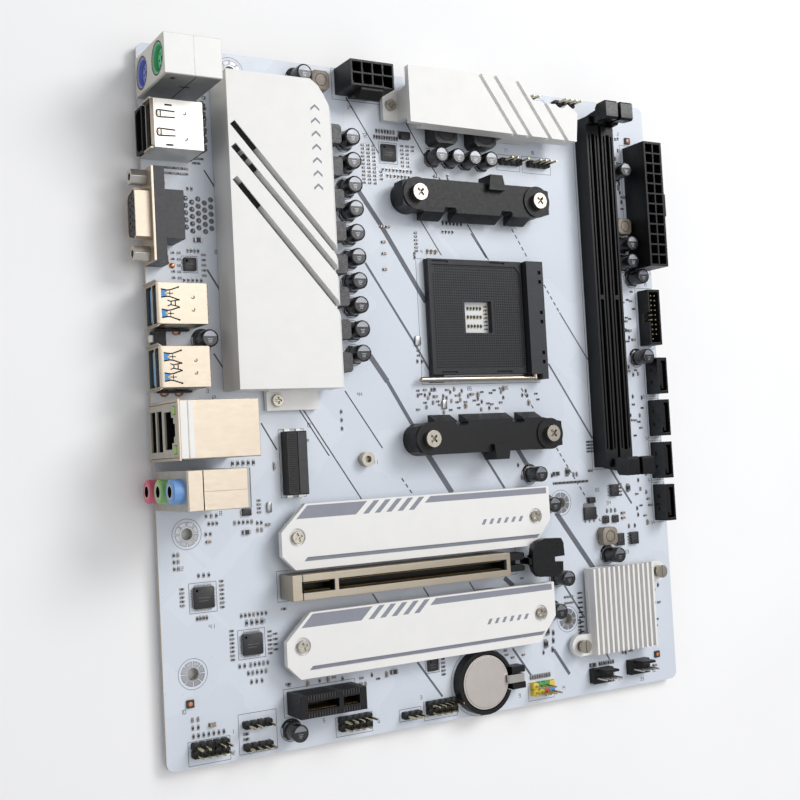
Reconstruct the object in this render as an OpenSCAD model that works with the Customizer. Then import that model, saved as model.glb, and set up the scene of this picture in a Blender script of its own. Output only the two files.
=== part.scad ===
// Micro-ATX motherboard: a white circuit board with its sockets, slots, heatsinks,
// rear connectors and power parts. Board flat, +Z up out of the component side, X from the
// rear connector edge to the front edge, Y along the rear edge. The origin is the centre of
// the lower four case screws' rectangle, on the underside of the board.

/* [Board] */
// Board size from the rear edge to the front edge
board_w = 220; // [218:1:226]
// Board size along the rear edge
board_h = 240; // [240:1:244]
// Board thickness
board_t = 1.6; // [1.2:0.1:2]
// Radius of the board's corners
corner_r = 3; // [2:0.5:4]
// Radius of the case screw holes
screw_hole_r = 1.98; // [1.9:0.02:2.1]
// Length of the solder tails under the board
tail_l = 2; // [1.5:0.25:2.5]

/* [Cooling] */
// Height of the power-stage heatsink's flat top over the board
vrm_h = 15; // [13:0.5:18]
// Height of the upper heatsink's flat top over the board
top_sink_h = 15; // [13:0.5:18]
// Height of the chipset heatsink's fins over the board
chipset_h = 7.2; // [6:0.2:9]
// Number of chipset fins
chipset_fins = 13; // [8:1:13]
// Height of the drive covers' top over the board
cover_h = 7; // [6.5:0.25:9]

/* [Sockets] */
// Height of the processor socket's top over the board
socket_h = 3.2; // [3:0.1:3.6]
// Height of the memory slots' body
dimm_h = 7.5; // [7:0.25:9]
// Length of the long expansion slot
x16_l = 89; // [89:0.5:90]
// Height of the upright power connectors
power_h = 12.9; // [12:0.1:14]
// Height of the case capacitors
cap_h = 8; // [7:0.5:9]
// Radius of the audio jacks' bores
jack_r = 1.8; // [1.75:0.05:1.9]

/* [Hidden] */
$fn = 32;

// Corner of the board's rear top edge, in the model's frame
board_x0 = -87.63;
board_y0 = 186.69;
// Case screw holes that this board uses, from the rear corner
case_holes = [[33.02, -6.35], [165.1, -6.35], [10.16, -163.83], [165.1, -163.83],
  [10.16, -209.55], [165.1, -209.55]];
// Cooler bracket holes: 54 by 90 mm
cooler_c = [127.43, -91.28];
cooler_holes = [for (i = [-1, 1], j = [-1, 1]) cooler_c + [27 * i, 45 * j]];
sink_holes = [[43.6, -120.6], [94.7, -12.6], [168.2, -220], [209.7, -194.7]];

// Everything below is drawn from the board's rear corner, with z = 0 on its top face
module board_frame() { translate([board_x0, board_y0, board_t]) children(); }
module at(p, z = 0) { translate([p[0], p[1], z]) children(); }
module block(x0, x1, y0, y1, z0, z1) { translate([x0, y0, z0]) cube([x1 - x0, y1 - y0, z1 - z0]); }
module slab(z0, z1, pts) { translate([0, 0, z0]) linear_extrude(z1 - z0) polygon(pts); }
// Outline in X and Z, drawn out along Y
module prism_y(y0, y1, pts) { translate([0, y1, 0]) rotate([90, 0, 0]) linear_extrude(y1 - y0) polygon(pts); }
// Outline in Y and Z, drawn out along X
module prism_x(x0, x1, pts) { translate([x0, 0, 0]) rotate([90, 0, 90]) linear_extrude(x1 - x0) polygon(pts); }
module rod_x(x0, x1, y, z, r) { translate([x0, y, z]) rotate([0, 90, 0]) cylinder(h = x1 - x0, r = r); }
module rod_y(y0, y1, x, z, r) { translate([x, y1, z]) rotate([90, 0, 0]) cylinder(h = y1 - y0, r = r); }

// ---------- board ----------
module pcb() {
  color([0.86, 0.89, 0.93]) board_frame() difference() {
    union() {
      block(corner_r, board_w - corner_r, -board_h, 0, -board_t, 0);
      block(0, board_w, -board_h + corner_r, -corner_r, -board_t, 0);
      for (x = [corner_r, board_w - corner_r], y = [-corner_r, -board_h + corner_r])
        translate([x, y, -board_t]) cylinder(h = board_t, r = corner_r);
    }
    for (p = case_holes) at(p, -board_t - 1) cylinder(h = board_t + 2, r = screw_hole_r);
    for (p = cooler_holes) at(p, -board_t - 1) cylinder(h = board_t + 2, r = 2.1);
  }
}

module tail_row(x, y, nx, ny, px, py, r = 0.45) {
  for (i = [0 : nx - 1], j = [0 : ny - 1])
    translate([x + i * px, y + j * py, -board_t - tail_l]) cylinder(h = tail_l, r = r, $fn = 16);
}
module solder_tails() {
  color("silver") board_frame() {
    tail_row(76, -7.3, 4, 2, 4.2, 4.2, 0.7);
    tail_row(210.9, -67.2, 2, 12, 4.2, 4.2, 0.7);
    tail_row(4, -16.5, 3, 2, 5, 7, 0.6);
    tail_row(3, -37, 3, 3, 5, 6, 0.5);
    tail_row(2, -72, 2, 2, 6, 22, 0.8);
    tail_row(4, -94, 3, 2, 4, 9.6, 0.5);
    tail_row(4, -114.5, 3, 2, 4, 9.6, 0.5);
    tail_row(4, -137, 4, 2, 6, 13.5, 0.6);
    tail_row(4, -153, 3, 2, 6, 8, 0.6);
    tail_row(185.3, -145, 2, 12, 7.4, 12, 0.5);
    tail_row(46, -184.3, 10, 1, 9, 1, 0.5);
    tail_row(46, -224, 4, 1, 6.5, 1, 0.5);
    tail_row(213.7, -98.8, 2, 10, 2, 2, 0.35);
    tail_row(216, -172, 1, 8, 1, 8.7, 0.5);
    tail_row(10, -235, 5, 1, 2.54, 1, 0.45);
    tail_row(63.5, -235, 5, 1, 2.54, 1, 0.45);
    tail_row(99.3, -235, 5, 1, 2.54, 1, 0.45);
    tail_row(146.5, -235, 4, 1, 2.54, 1, 0.45);
    tail_row(178, -235, 4, 1, 2.54, 1, 0.45);
  }
}

// ---------- rear connectors ----------
ps2_y = -12.7;
module ps2_shell() {
  color([0.85, 0.84, 0.8]) board_frame() difference() {
    block(-0.5, 18.8, -19.2, -6.2, 0, 28.5);
    for (z = [6.6, 22.1]) rod_x(-1.5, 12, ps2_y, z, 4.9);
  }
}
module ps2_sockets() {
  board_frame() for (k = [0, 1]) color(k == 0 ? [0.45, 0.45, 0.85] : [0.35, 0.75, 0.5])
    difference() {
      rod_x(-0.2, 12, ps2_y, k == 0 ? 6.6 : 22.1, 4.9);
      translate([0, 0, k == 0 ? 6.6 : 22.1]) {
        difference() {
          rod_x(-1, 9, ps2_y, 0, 4.25);
          rod_x(1, 10, ps2_y, 0, 3.4);
        }
        block(0.4, 8, ps2_y - 1, ps2_y + 1, -0.6, 1.4);
        for (a = [20, 90, 160, 215, 270, 325])
          rod_x(0.4, 6, ps2_y + 2.3 * cos(a), 2.3 * sin(a), 0.45, $fn = 16);
      }
    }
}

video_y0 = -39.5; video_y1 = -23.3;
module video_shell() {
  color([0.9, 0.89, 0.86]) board_frame() difference() {
    block(-0.5, 16.3, video_y0, video_y1, 0.2, 16);
    block(-1, 15.6, video_y0 + 0.5, video_y1 - 0.5, 0.7, 7.9);
    block(-1, 15.6, video_y0 + 0.5, video_y1 - 0.5, 8.4, 15.5);
  }
}
module video_core() {
  color([0.08, 0.08, 0.09]) board_frame() {
    difference() {
      prism_x(-1.6, 15.5, [[video_y0 + 0.6, 0.8], [video_y1 - 0.6, 0.8], [video_y1 - 0.6, 7.8], [video_y0 + 0.6, 7.8]]);
      prism_x(-2, 9, [[video_y0 + 2.6, 1.7], [video_y1 - 2.6, 1.7], [video_y1 - 1.3, 3.4], [video_y1 - 1.3, 6.9], [video_y0 + 1.3, 6.9], [video_y0 + 1.3, 3.4]]);
    }
    block(0.5, 9.2, video_y0 + 3.2, video_y1 - 3.2, 3.6, 4.8);
    difference() {
      prism_x(0.4, 15.5, [[video_y0 + 0.6, 8.5], [video_y1 - 0.6, 8.5], [video_y1 - 0.6, 15.4], [video_y0 + 0.6, 15.4]]);
      prism_x(0, 9, [[video_y0 + 2.6, 9.2], [video_y1 - 2.6, 9.2], [video_y1 - 1.2, 10.8], [video_y1 - 1.2, 14.7], [video_y0 + 1.2, 14.7], [video_y0 + 1.2, 10.8]]);
    }
    block(1.5, 9.2, video_y0 + 3.2, video_y1 - 3.2, 11.4, 12.6);
  }
}

vga_y = -59.8; vga_z = 6.3;
module d_outline(w, h, s) { // a D with slanted sides, in Y and Z
  prism_x(0, 1, [[vga_y - w / 2 + 1, vga_z + h / 2], [vga_y - w / 2, vga_z + h / 2 - 1.2], [vga_y - w / 2 + s, vga_z - h / 2 + 1],
    [vga_y - w / 2 + s + 1.4, vga_z - h / 2], [vga_y + w / 2 - s - 1.4, vga_z - h / 2], [vga_y + w / 2 - s, vga_z - h / 2 + 1],
    [vga_y + w / 2, vga_z + h / 2 - 1.2], [vga_y + w / 2 - 1, vga_z + h / 2]]);
}
module vga_shell() {
  color([0.93, 0.9, 0.84]) board_frame() difference() {
    union() {
      block(-0.9, 0, vga_y - 15.4, vga_y + 15.4, 0.2, 12.4);
      translate([-6, 0, 0]) scale([5.6, 1, 1]) d_outline(16.9, 8.4, 1.5);
    }
    translate([-7, 0, 0]) scale([9, 1, 1]) d_outline(15.9, 7.4, 1.4);
    for (j = [-1, 1]) rod_x(-2, 1, vga_y + 12.5 * j, vga_z, 1.6);
  }
}
module vga_body() {
  color([0.3, 0.3, 0.32]) board_frame() difference() {
    union() {
      block(0, 3.6, vga_y - 15.4, vga_y + 15.4, 0, 12.3);
      block(3.6, 10, vga_y - 8, vga_y + 8, 0, 12);
      block(3.6, 6, vga_y - 15.4, vga_y - 12.4, 0, 6);
      translate([-5.6, 0, 0]) scale([6, 1, 1]) d_outline(15.7, 7.2, 1.4);
    }
    for (r = [-1, 0, 1], k = [-2 : 2])
      rod_x(-7, -1, vga_y + 2.29 * k + (r == 0 ? 0.9 : 0), vga_z + 1.98 * r, 0.5, $fn = 16);
    for (j = [-1, 1]) rod_x(-2, 3, vga_y + 12.5 * j, vga_z, 1.6);
  }
}
module vga_jackscrews() {
  color("silver") board_frame() for (j = [-1, 1]) difference() {
    union() {
      translate([-6.2, vga_y + 12.5 * j, vga_z]) rotate([0, 90, 0]) cylinder(h = 5.3, r = 2.75, $fn = 6);
      rod_x(-1, 2.8, vga_y + 12.5 * j, vga_z, 1.6);
    }
    rod_x(-7, -1.5, vga_y + 12.5 * j, vga_z, 1.25);
  }
}

module usb3_shell(y0, y1) {
  board_frame() difference() {
    union() {
      block(-0.5, 15.9, y0, y1, 0.2, 13.5);
      prism_y(y0, y1, [[-0.5, 13.2], [-1.6, 14.1], [-1.4, 14.3], [0.4, 13.5]]);
      slab(0.4, 13, [[-0.5, y0], [-1.5, y0 - 0.8], [-1.3, y0 - 1], [0.4, y0]]);
      slab(0.4, 13, [[-0.5, y1], [0.4, y1], [-1.3, y1 + 1], [-1.5, y1 + 0.8]]);
    }
    block(-2, 15.2, y0 + 0.4, y1 - 0.4, 0.8, 6.4);
    block(-2, 15.2, y0 + 0.4, y1 - 0.4, 7.4, 13);
  }
}
module usb3_shell_a() { color([0.93, 0.88, 0.82]) usb3_shell(-95.7, -82.4); }
module usb3_shell_b() { color([0.93, 0.88, 0.82]) usb3_shell(-116.1, -102.8); }
module usb3_tongues() {
  color([0.2, 0.55, 0.85]) board_frame() for (y0 = [-95.7, -116.1], z = [3.6, 10.2])
    union() {
      block(0.4, 9, y0 + 1.2, y0 + 12.1, z, z + 1.9);
      block(9, 15, y0 + 0.6, y0 + 12.7, z - 2.6, z + 2.6);
    }
}

cmos_y = -99.4;
module cmos_switch_body() {
  color([0.1, 0.1, 0.11]) board_frame() difference() {
    block(0.6, 4.6, cmos_y - 2.6, cmos_y + 2.6, 0, 4.4);
    block(0, 2.6, cmos_y - 1.35, cmos_y + 1.35, 1, 3.4);
  }
}
module cmos_button() {
  color([0.9, 0.9, 0.88]) board_frame() block(-0.4, 2, cmos_y - 1.15, cmos_y + 1.15, 1.2, 3.2);
}

lan_y0 = -139.2; lan_y1 = -121; lan_yc = (lan_y0 + lan_y1) / 2;
module lan_usb_shell() {
  color([0.9, 0.86, 0.8]) board_frame() difference() {
    union() {
      block(-0.5, 26, lan_y0, lan_y1, 0.2, 28);
      block(-1.1, -0.3, lan_y0 - 0.5, lan_y1 + 0.5, 0.2, 28.4);
    }
    block(-2, 25.3, lan_y0 + 0.5, lan_y1 - 0.5, 0.8, 27.4);
  }
}
module lan_usb_core() {
  color([0.75, 0.73, 0.68]) board_frame() difference() {
    block(-1, 25.2, lan_y0 + 0.6, lan_y1 - 0.6, 0.9, 27.3);
    for (z = [1.6, 7.9]) difference() {
      block(-2, 12, lan_yc - 6.5, lan_yc + 6.5, z, z + 5);
      block(0.2, 13, lan_yc - 5.6, lan_yc + 5.6, z + 1.6, z + 3.4);
    }
    block(-2, 14, lan_yc - 5.9, lan_yc + 5.9, 15.2, 21.8);
    block(-2, 14, lan_yc - 3.9, lan_yc + 3.9, 21.7, 23.6);
    block(-2, 14, lan_yc - 2, lan_yc + 2, 23.5, 24.9);
    for (j = [-1, 1]) block(-2, 6, lan_yc + 6.1 * j - 1.4, lan_yc + 6.1 * j + 1.4, 23.3, 26);
  }
}

audio_y = -149; audio_z = [4.6, 15.8, 27];
module audio_body() {
  color([0.72, 0.71, 0.68]) board_frame() difference() {
    block(14, 20.6, -155.3, -142.7, 0, 32);
    prism_y(-156, -142, [[19.4, 33], [20.7, 31.2], [22, 31.2], [22, 33]]);
  }
}
// One jack: its third of the housing, its barrel and the plug's bore
module audio_jack(k) {
  z = audio_z[k];
  board_frame() difference() {
    union() {
      block(-0.5, 14, -155.3, -142.7, [0, 10.2, 21.4][k], [10.2, 21.4, 32][k]);
      rod_x(-4, 0, audio_y, z, 3.88);
      rod_x(-4.3, -3.9, audio_y, z, 3.5);
    }
    rod_x(-5, 15, audio_y, z, jack_r);
  }
}
module audio_jack_pink() { color([0.85, 0.42, 0.5]) audio_jack(0); }
module audio_jack_green() { color([0.62, 0.8, 0.5]) audio_jack(1); }
module audio_jack_blue() { color([0.52, 0.68, 0.88]) audio_jack(2); }

// ---------- heatsinks ----------
// A groove cut across a flat top, from a to b
module groove(a, b, w, z0) {
  d = b - a; l = norm(d); n = [-d[1], d[0]] / l * w / 2;
  slab(z0, 60, [a + n, b + n, b - n, a - n]);
}
vrm_x0 = 25.3; vrm_x1 = 64.3;
module vrm_heatsink() {
  plan = [[vrm_x0, -117.3], [vrm_x0, -10.6], [56.4, -10.5], [59.2, -12.6], [61.3, -15.7], [63, -19], [64, -22.4], [vrm_x1, -26], [vrm_x1, -117.3]];
  color([0.93, 0.93, 0.91]) board_frame() difference() {
    union() {
      slab(3, vrm_h, plan);
      block(vrm_x0, 57, -117, -12, 0.3, 3.1);
      block(39.8, 59.5, -124, -117, 0.8, 2.8);
      block(39.8, 59.5, -117.7, -116, 0.8, 5);
    }
    // long edge over the chokes, bevelled
    prism_y(-120, 0, [[vrm_x1 - 1.2, vrm_h + 1], [vrm_x1 - 1.2, vrm_h], [vrm_x1 + 0.1, vrm_h - 1.3], [vrm_x1 + 2, vrm_h - 1.3], [vrm_x1 + 2, vrm_h + 1]]);
    for (g = [[[26.9, -28.45], [67, -74.2]], [[26.9, -36.06], [67, -80.9]], [[26.9, -47.12], [67, -93.6]]])
      groove(g[0], g[1], 2.2, vrm_h - 3.5);
    at(sink_holes[0], -1) cylinder(h = 6, r = 1.7);
  }
}
module top_heatsink() {
  color([0.93, 0.93, 0.91]) board_frame() difference() {
    union() {
      slab(12.5, top_sink_h, [[96, -0.8], [96, -21.6], [110, -21.7], [110, -0.5]]);
      slab(8, top_sink_h, [[103, -0.6], [103, -21.7], [171.8, -22.4], [173, -11], [168.1, -7.9], [161, -8.5], [152, -8.2], [145.6, -1.6], [143.6, 0], [130.7, -0.4]]);
      block(104, 108, -19.5, -2.5, 0.3, 8);
      block(108, 140, -13, -2.5, 0.3, 8);
      block(142.5, 156, -21.4, -13.5, 0.3, 8);
      block(91.7, 100, -18.2, -7, 0.8, 2.8);
      block(98, 100, -18.2, -7, 0.8, 12.6);
    }
    for (x = [124, 131, 140.5, 148.5]) groove([x, 4], [x + 21, -26], 1.5, top_sink_h - 2.2);
    at(sink_holes[1], -1) cylinder(h = 6, r = 1.7);
    at(case_holes[1], -1) cylinder(h = 40, r = 3.4);
  }
}
chip_x0 = 173.4; chip_x1 = 204.9;
module chipset_heatsink() {
  fin_p = (chip_x1 - chip_x0 - 1.4) / (chipset_fins - 1);
  color([0.93, 0.93, 0.91]) board_frame() difference() {
    union() {
      block(chip_x0, chip_x1, -224, -190.3, 1.6, 3.6);
      for (i = [0 : chipset_fins - 1])
        block(chip_x0 + 0.2 + i * fin_p, chip_x0 + 1.2 + i * fin_p, -224, -190.3, 3.6, chipset_h);
      for (q = [[2, chip_x0 + 4, -1], [3, chip_x1 - 1, 1]]) {
        at(sink_holes[q[0]], 1.6) cylinder(h = 2, r = 4.2);
        block(min(sink_holes[q[0]][0], q[1]), max(sink_holes[q[0]][0], q[1]), sink_holes[q[0]][1] - 4.2, sink_holes[q[0]][1] + 4.2, 1.6, 3.6);
      }
      block(178, 198, -216, -198, 0.2, 1.6);
    }
    for (k = [2, 3]) at(sink_holes[k], -1) cylinder(h = 20, r = 1.6);
    for (k = [2, 3]) at(sink_holes[k], 3.6) cylinder(h = 20, r = 3.3);
  }
}
module heatsink_fixings() {
  color([0.85, 0.85, 0.84]) board_frame() {
    for (k = [0, 1]) at(sink_holes[k]) difference() {
      union() {
        cylinder(h = 2.8, r = 1.6);
        translate([0, 0, 2.8]) cylinder(h = 1.5, r = 2.1);
      }
      for (a = [0, 90]) rotate(a) translate([-1.2, -0.3, 3.6]) cube([2.4, 0.6, 2]);
    }
    for (k = [2, 3]) at(sink_holes[k]) difference() {
      union() {
        cylinder(h = 3.6, r = 1.5);
        translate([0, 0, 3.6]) cylinder(h = 0.6, r = 2.3);
        translate([0, 0, 4.2]) cylinder(h = 1.6, r = 1.3);
        translate([0, 0, 5.8]) cylinder(h = 1.2, r = 2.6);
      }
      translate([-0.3, -4, 6.5]) cube([0.6, 8, 2]);
    }
  }
}

// ---------- power parts ----------
module choke(x, y, w, d, h, c = 0.6) {
  translate([x, y, 0]) difference() {
    translate([-w / 2, -d / 2, 0]) cube([w, d, h]);
    for (a = [45, 135, 225, 315])
      rotate(a) translate([norm([w, d]) / 2 - c, -5, -1]) cube([5, 10, h + 2]);
  }
}
module vrm_chokes() {
  color([0.55, 0.55, 0.56]) board_frame() for (i = [0 : 7])
    choke(68.3, -26.4 - i * 11.64, 7, 7, 7);
}
module can(p, r = 3.1, h = cap_h) {
  at(p) union() {
    cylinder(h = 0.8, r = r + 0.2);
    translate([0, 0, 0.8]) cylinder(h = 0.9, r = r - 0.25);
    translate([0, 0, 1.7]) cylinder(h = h - 1.7, r = r);
  }
}
module vrm_capacitors() {
  color([0.12, 0.12, 0.13]) board_frame() for (i = [0 : 9]) can([75.9, -27 - i * 8.64]);
}
module soc_chokes() {
  color([0.16, 0.16, 0.17]) board_frame() for (x = [116, 133.6]) difference() {
    choke(x, -20.9, 10, 10, 7.3, 1);
    at([x, -20.9], 6.9) difference() { cylinder(h = 2, r = 4.1); translate([0, 0, -1]) cylinder(h = 4, r = 3.5); }
  }
}
module top_capacitors() {
  color([0.12, 0.12, 0.13]) board_frame() for (x = [113.3, 120.8, 128.3, 135.8]) can([x, -30.4], 3, cap_h);
}
// Place of each loose capacitor, and its height
loose_caps = [[58, -5.8, 8], [18.5, -99.6, 8], [202.7, -29.4, 8], [203.9, -59.8, 8], [203.6, -67.1, 8], [208.6, -73.3, 8],
  [208.8, -106.5, 8], [158.1, -164, 6], [161.2, -192.7, 8], [158.1, -205.3, 6], [150.8, -151.7, 8], [44.3, -233.2, 8], [187.2, -186, 8]];
module scattered_capacitors() {
  color([0.12, 0.12, 0.13]) board_frame() for (c = loose_caps) can([c[0], c[1]], 3, c[2]);
}

module eps_connector() {
  color([0.1, 0.1, 0.11]) board_frame() difference() {
    union() {
      block(73.6, 91.2, -10, -0.5, 0, power_h);
      prism_x(78, 87, [[-10, 1.5], [-10, 12], [-11, 12], [-13.6, 9], [-13.6, 8], [-11.4, 6], [-11.4, 1.5]]);
    }
    for (i = [0 : 3], j = [0, 1]) translate([76.1 + i * 4.2, -7.35 + j * 4.2, 2.5]) translate([-1.75, -1.75, 0]) cube([3.5, 3.5, 20]);
  }
}
atx_x = 208.2; atx_y0 = -69.9;
module atx_connector() {
  color([0.1, 0.1, 0.11]) board_frame() difference() {
    union() {
      block(atx_x, atx_x + 9.6, atx_y0, atx_y0 + 51.6, 0, power_h);
      prism_y(-48.6, -39.6, [[atx_x + 9.6, 1.5], [atx_x + 11, 1.5], [atx_x + 11, 6], [atx_x + 13.2, 8], [atx_x + 13.2, 9], [atx_x + 11, 12], [atx_x + 9.6, 12]]);
    }
    for (i = [0, 1], j = [0 : 11]) translate([atx_x + 2.7 + i * 4.2 - 1.75, atx_y0 + 2.7 + j * 4.2 - 1.75, 2.5]) cube([3.5, 3.5, 20]);
  }
}

// ---------- processor socket ----------
sock_x0 = 107.1; sock_x1 = 149.9; sock_y0 = -112.5; sock_y1 = -68.9;
cam_x0 = 150.5; cam_x1 = 158.4; cam_y0 = -114.9;
field_c = [129.05, -90.7];
win = [12.1, 12];
lever_x = 154.2; lever_y = -114.2; lever_z = 2.6;
module cpu_socket_base() {
  color([0.25, 0.25, 0.27]) board_frame() difference() {
    union() {
      block(sock_x0, cam_x1, sock_y0, sock_y1, 0.3, 1.6);
      block(cam_x0, cam_x1, cam_y0, sock_y1, 0.3, socket_h + 2.6);
      block(sock_x0, sock_x0 + 6, cam_y0 - 0.4, sock_y0, 0.3, 1.3);
    }
    translate([field_c[0] - win[0] / 2, field_c[1] - win[1] / 2, -1]) cube([win[0], win[1], 10]);
    for (y = [-73.3, -88.9, -104.6], k = [0, 1]) block(155.9, 157.3, y - 0.7 - 3.6 * k, y + 0.7 - 3.6 * k, 4.6, 10);
    rod_y(-116, -70.4, lever_x, lever_z, 1.25);
    block(cam_x0 - 1, lever_x + 1.4, lever_y - 2, lever_y + 1.3, 1.4, 12);
  }
}
// The cover carries the field of pin holes; the field's floor is 0.4 mm down
module cpu_socket_cover() {
  f = 20.2;
  color([0.27, 0.27, 0.29]) board_frame() difference() {
    block(sock_x0, sock_x1, sock_y0, sock_y1, 1.8, socket_h);
    slab(socket_h - 0.4, socket_h + 1, [[field_c[0] - f, field_c[1] - 19.6], [field_c[0] + f - 1.4, field_c[1] - 19.6], [field_c[0] + f, field_c[1] - 18.2],
      [field_c[0] + f, field_c[1] + 17], [field_c[0] + f - 2.4, field_c[1] + 19.6], [field_c[0] - f, field_c[1] + 19.6]]);
    translate([field_c[0] - win[0] / 2, field_c[1] - win[1] / 2, -1]) cube([win[0], win[1], 20]);
    for (x = [sock_x0 + 4, sock_x0 + 29]) block(x, x + 7, sock_y0 + 0.5, sock_y0 + 1.1, socket_h - 0.7, 20);
    for (x = [sock_x0 + 2, sock_x0 + 28]) block(x, x + 7, sock_y1 - 1.2, sock_y1 - 0.6, socket_h - 0.7, 20);
  }
}
module cpu_socket_lever() {
  color([0.85, 0.8, 0.74]) board_frame() union() {
    rod_y(lever_y, -71.4, lever_x, lever_z, 1.2);
    rod_x(102.3, lever_x, lever_y, lever_z, 0.95);
    translate([lever_x, lever_y, lever_z]) sphere(r = 1.2);
    translate([102.3, lever_y, lever_z]) sphere(r = 0.95);
  }
}

// ---------- cooler brackets ----------
module bracket_outline(s) {
  // s = 1 upper bar, s = -1 its mirror image; drawn about the cooler centre
  slab(3.4, 9.4, [for (p = [[-33, 40.4], [-24, 38.6], [-16, 38.6], [-15, 40.6], [-10.5, 40.6], [-9.5, 38.6], [9.5, 38.6], [10.5, 40.6],
    [15, 40.6], [16, 38.6], [24, 38.6], [33, 40.4], [33, 49.6], [26, 50.8], [-26, 50.8], [-33, 49.6]])
    [cooler_c[0] + p[0], cooler_c[1] + s * p[1]]]);
}
module cooler_bracket(s) {
  board_frame() difference() {
    union() {
      bracket_outline(s);
      for (i = [-1, 1]) at(cooler_c + [27 * i, 45 * s]) cylinder(h = 10, r = 6);
      // sloped flank on the inner side, in three lengths
      for (q = [[-24, -15], [-10.5, 10.5], [15, 24]]) prism_x(cooler_c[0] + q[0], cooler_c[0] + q[1],
        [for (p = [[39.2, 3.4], [36.2, 3.4], [36.2, 4.4], [38.7, 9.3], [39.2, 9.3]]) [cooler_c[1] + s * p[0], p[1]]]);
      // hook for a clip, on the outer side
      slab(3.4, 11.6, [for (p = [[-3.8, 48], [-3, 53.8], [2.6, 53.8], [3.8, 48]])
        [cooler_c[0] + (s > 0 ? 7.6 : 3.4) + p[0], cooler_c[1] + s * p[1]]]);
    }
    for (i = [-1, 1]) at(cooler_c + [27 * i, 45 * s], -1) cylinder(h = 20, r = 2.3);
  }
}
module cooler_bracket_upper() { color([0.12, 0.12, 0.13]) cooler_bracket(1); }
module cooler_bracket_lower() { color([0.12, 0.12, 0.13]) cooler_bracket(-1); }
module bracket_screws() {
  color([0.2, 0.2, 0.21]) board_frame() for (p = cooler_holes) at(p) difference() {
    union() {
      translate([0, 0, -board_t]) cylinder(h = board_t + 10.1, r = 2);
      translate([0, 0, 10.1]) cylinder(h = 2.1, r = 3.1);
    }
    for (a = [0, 90]) rotate(a + 45) translate([-1.7, -0.4, 11]) cube([3.4, 0.8, 3]);
  }
}
module cooler_backplate() {
  color([0.16, 0.16, 0.17]) board_frame() translate([cooler_c[0], cooler_c[1], -board_t - tail_l]) difference() {
    union() {
      translate([-31, -36, 0]) cube([62, 72, tail_l]);
      for (i = [-1, 1], j = [-1, 1]) {
        translate([27 * i, 45 * j, 0]) cylinder(h = tail_l, r = 6.5);
        translate([27 * i - 5, j > 0 ? 34 : -45, 0]) cube([10, 11, tail_l]);
      }
    }
    translate([-17, -20, -1]) cube([34, 40, tail_l + 2]);
  }
}

// ---------- memory ----------
dimm_y0 = -147.6; dimm_y1 = -12.4; dimm_yc = (dimm_y0 + dimm_y1) / 2;
dimm_x = [186.3, 193.9];
module dimm_slot(x) {
  color([0.12, 0.12, 0.13]) board_frame() difference() {
    union() {
      block(x - 3.2, x + 3.2, dimm_y0, dimm_y1, 0, dimm_h);
      for (y = [dimm_y0 - 3.2, dimm_y1]) for (s = [-1, 1])
        block(x + s * 2.55 - 0.65, x + s * 2.55 + 0.65, y, y + 3.2, 0, 9.5);
    }
    difference() {
      block(x - 0.8, x + 0.8, dimm_y0 + 3.5, dimm_y1 - 3.5, 1.6, 20);
      block(x - 2, x + 2, -83.4, -81.6, 0, 20);
    }
    for (s = [-1, 1]) block(x + s * 1.9 - 0.35, x + s * 1.9 + 0.35, dimm_y0 + 4, dimm_y1 - 4, 5.5, 20);
  }
}
module dimm_slot_a() { dimm_slot(dimm_x[0]); }
module dimm_slot_b() { dimm_slot(dimm_x[1]); }
// A latch drawn about its pivot, for the end at +Y; s = -1 gives the other end
module dimm_latch(x, s) {
  y = s > 0 ? dimm_y1 : dimm_y0;
  color([0.14, 0.14, 0.15]) board_frame() translate([x, y, 0]) scale([1, s, 1]) union() {
    prism_x(-1.6, 1.6, [[1.1, 0.8], [2.6, 0.8], [3.4, 3], [4.4, 9], [4.9, 13.4], [0.4, 13.4], [-0.6, 12.2], [0.4, 9.6], [0.5, 8], [0.5, 2.4]]);
    rod_x(-1.8, 1.8, 1.6, 2, 0.6);
    prism_x(-3, 3, [[0.6, 13.4], [5, 13.4], [6.4, 14.6], [6.6, 19.6], [5.8, 20.2], [0.2, 20.2], [-0.6, 19.4], [-0.2, 14.4]]);
  }
}
module dimm_latch_a_upper() { dimm_latch(dimm_x[0], 1); }
module dimm_latch_a_lower() { dimm_latch(dimm_x[0], -1); }
module dimm_latch_b_upper() { dimm_latch(dimm_x[1], 1); }
module dimm_latch_b_lower() { dimm_latch(dimm_x[1], -1); }

// ---------- front edge connectors ----------
module usb3_header() {
  color([0.1, 0.1, 0.11]) board_frame() union() {
    difference() {
      block(211.4, 217.9, -101.6, -78.6, 0, 6.4);
      block(212.2, 217.1, -100.6, -79.6, 1.6, 12);
      block(211, 212.5, -92.2, -88, 2.4, 12);
    }
    for (i = [0, 1], j = [0 : 9]) if (!(i == 1 && j == 0))
      translate([213.65 + 2 * i - 0.3, -99.1 + j * 2 - 0.3, 1.6]) cube([0.6, 0.6, 4]);
  }
}
sata_h = 7.2;
module sata_ports() {
  color([0.1, 0.1, 0.11]) board_frame() for (y0 = [-121.9, -139.3, -156.8, -174.3]) translate([213.5, y0, 0]) difference() {
    block(0, 5.3, 0, 14.9, 0, sata_h);
    // L-shaped mouth, opening upwards, round a blade
    difference() {
      block(1, 4.6, 1.2, 13.6, 1.4, 20);
      block(2.2, 3.3, 2, 12.6, 0, sata_h - 0.6);
      block(0, 2.2, 3.4, 14, 0, 20);
    }
    for (y = [4.2, 9.4]) block(-1, 0.5, y, y + 1.3, 2.6, 3.9);
  }
}

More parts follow.
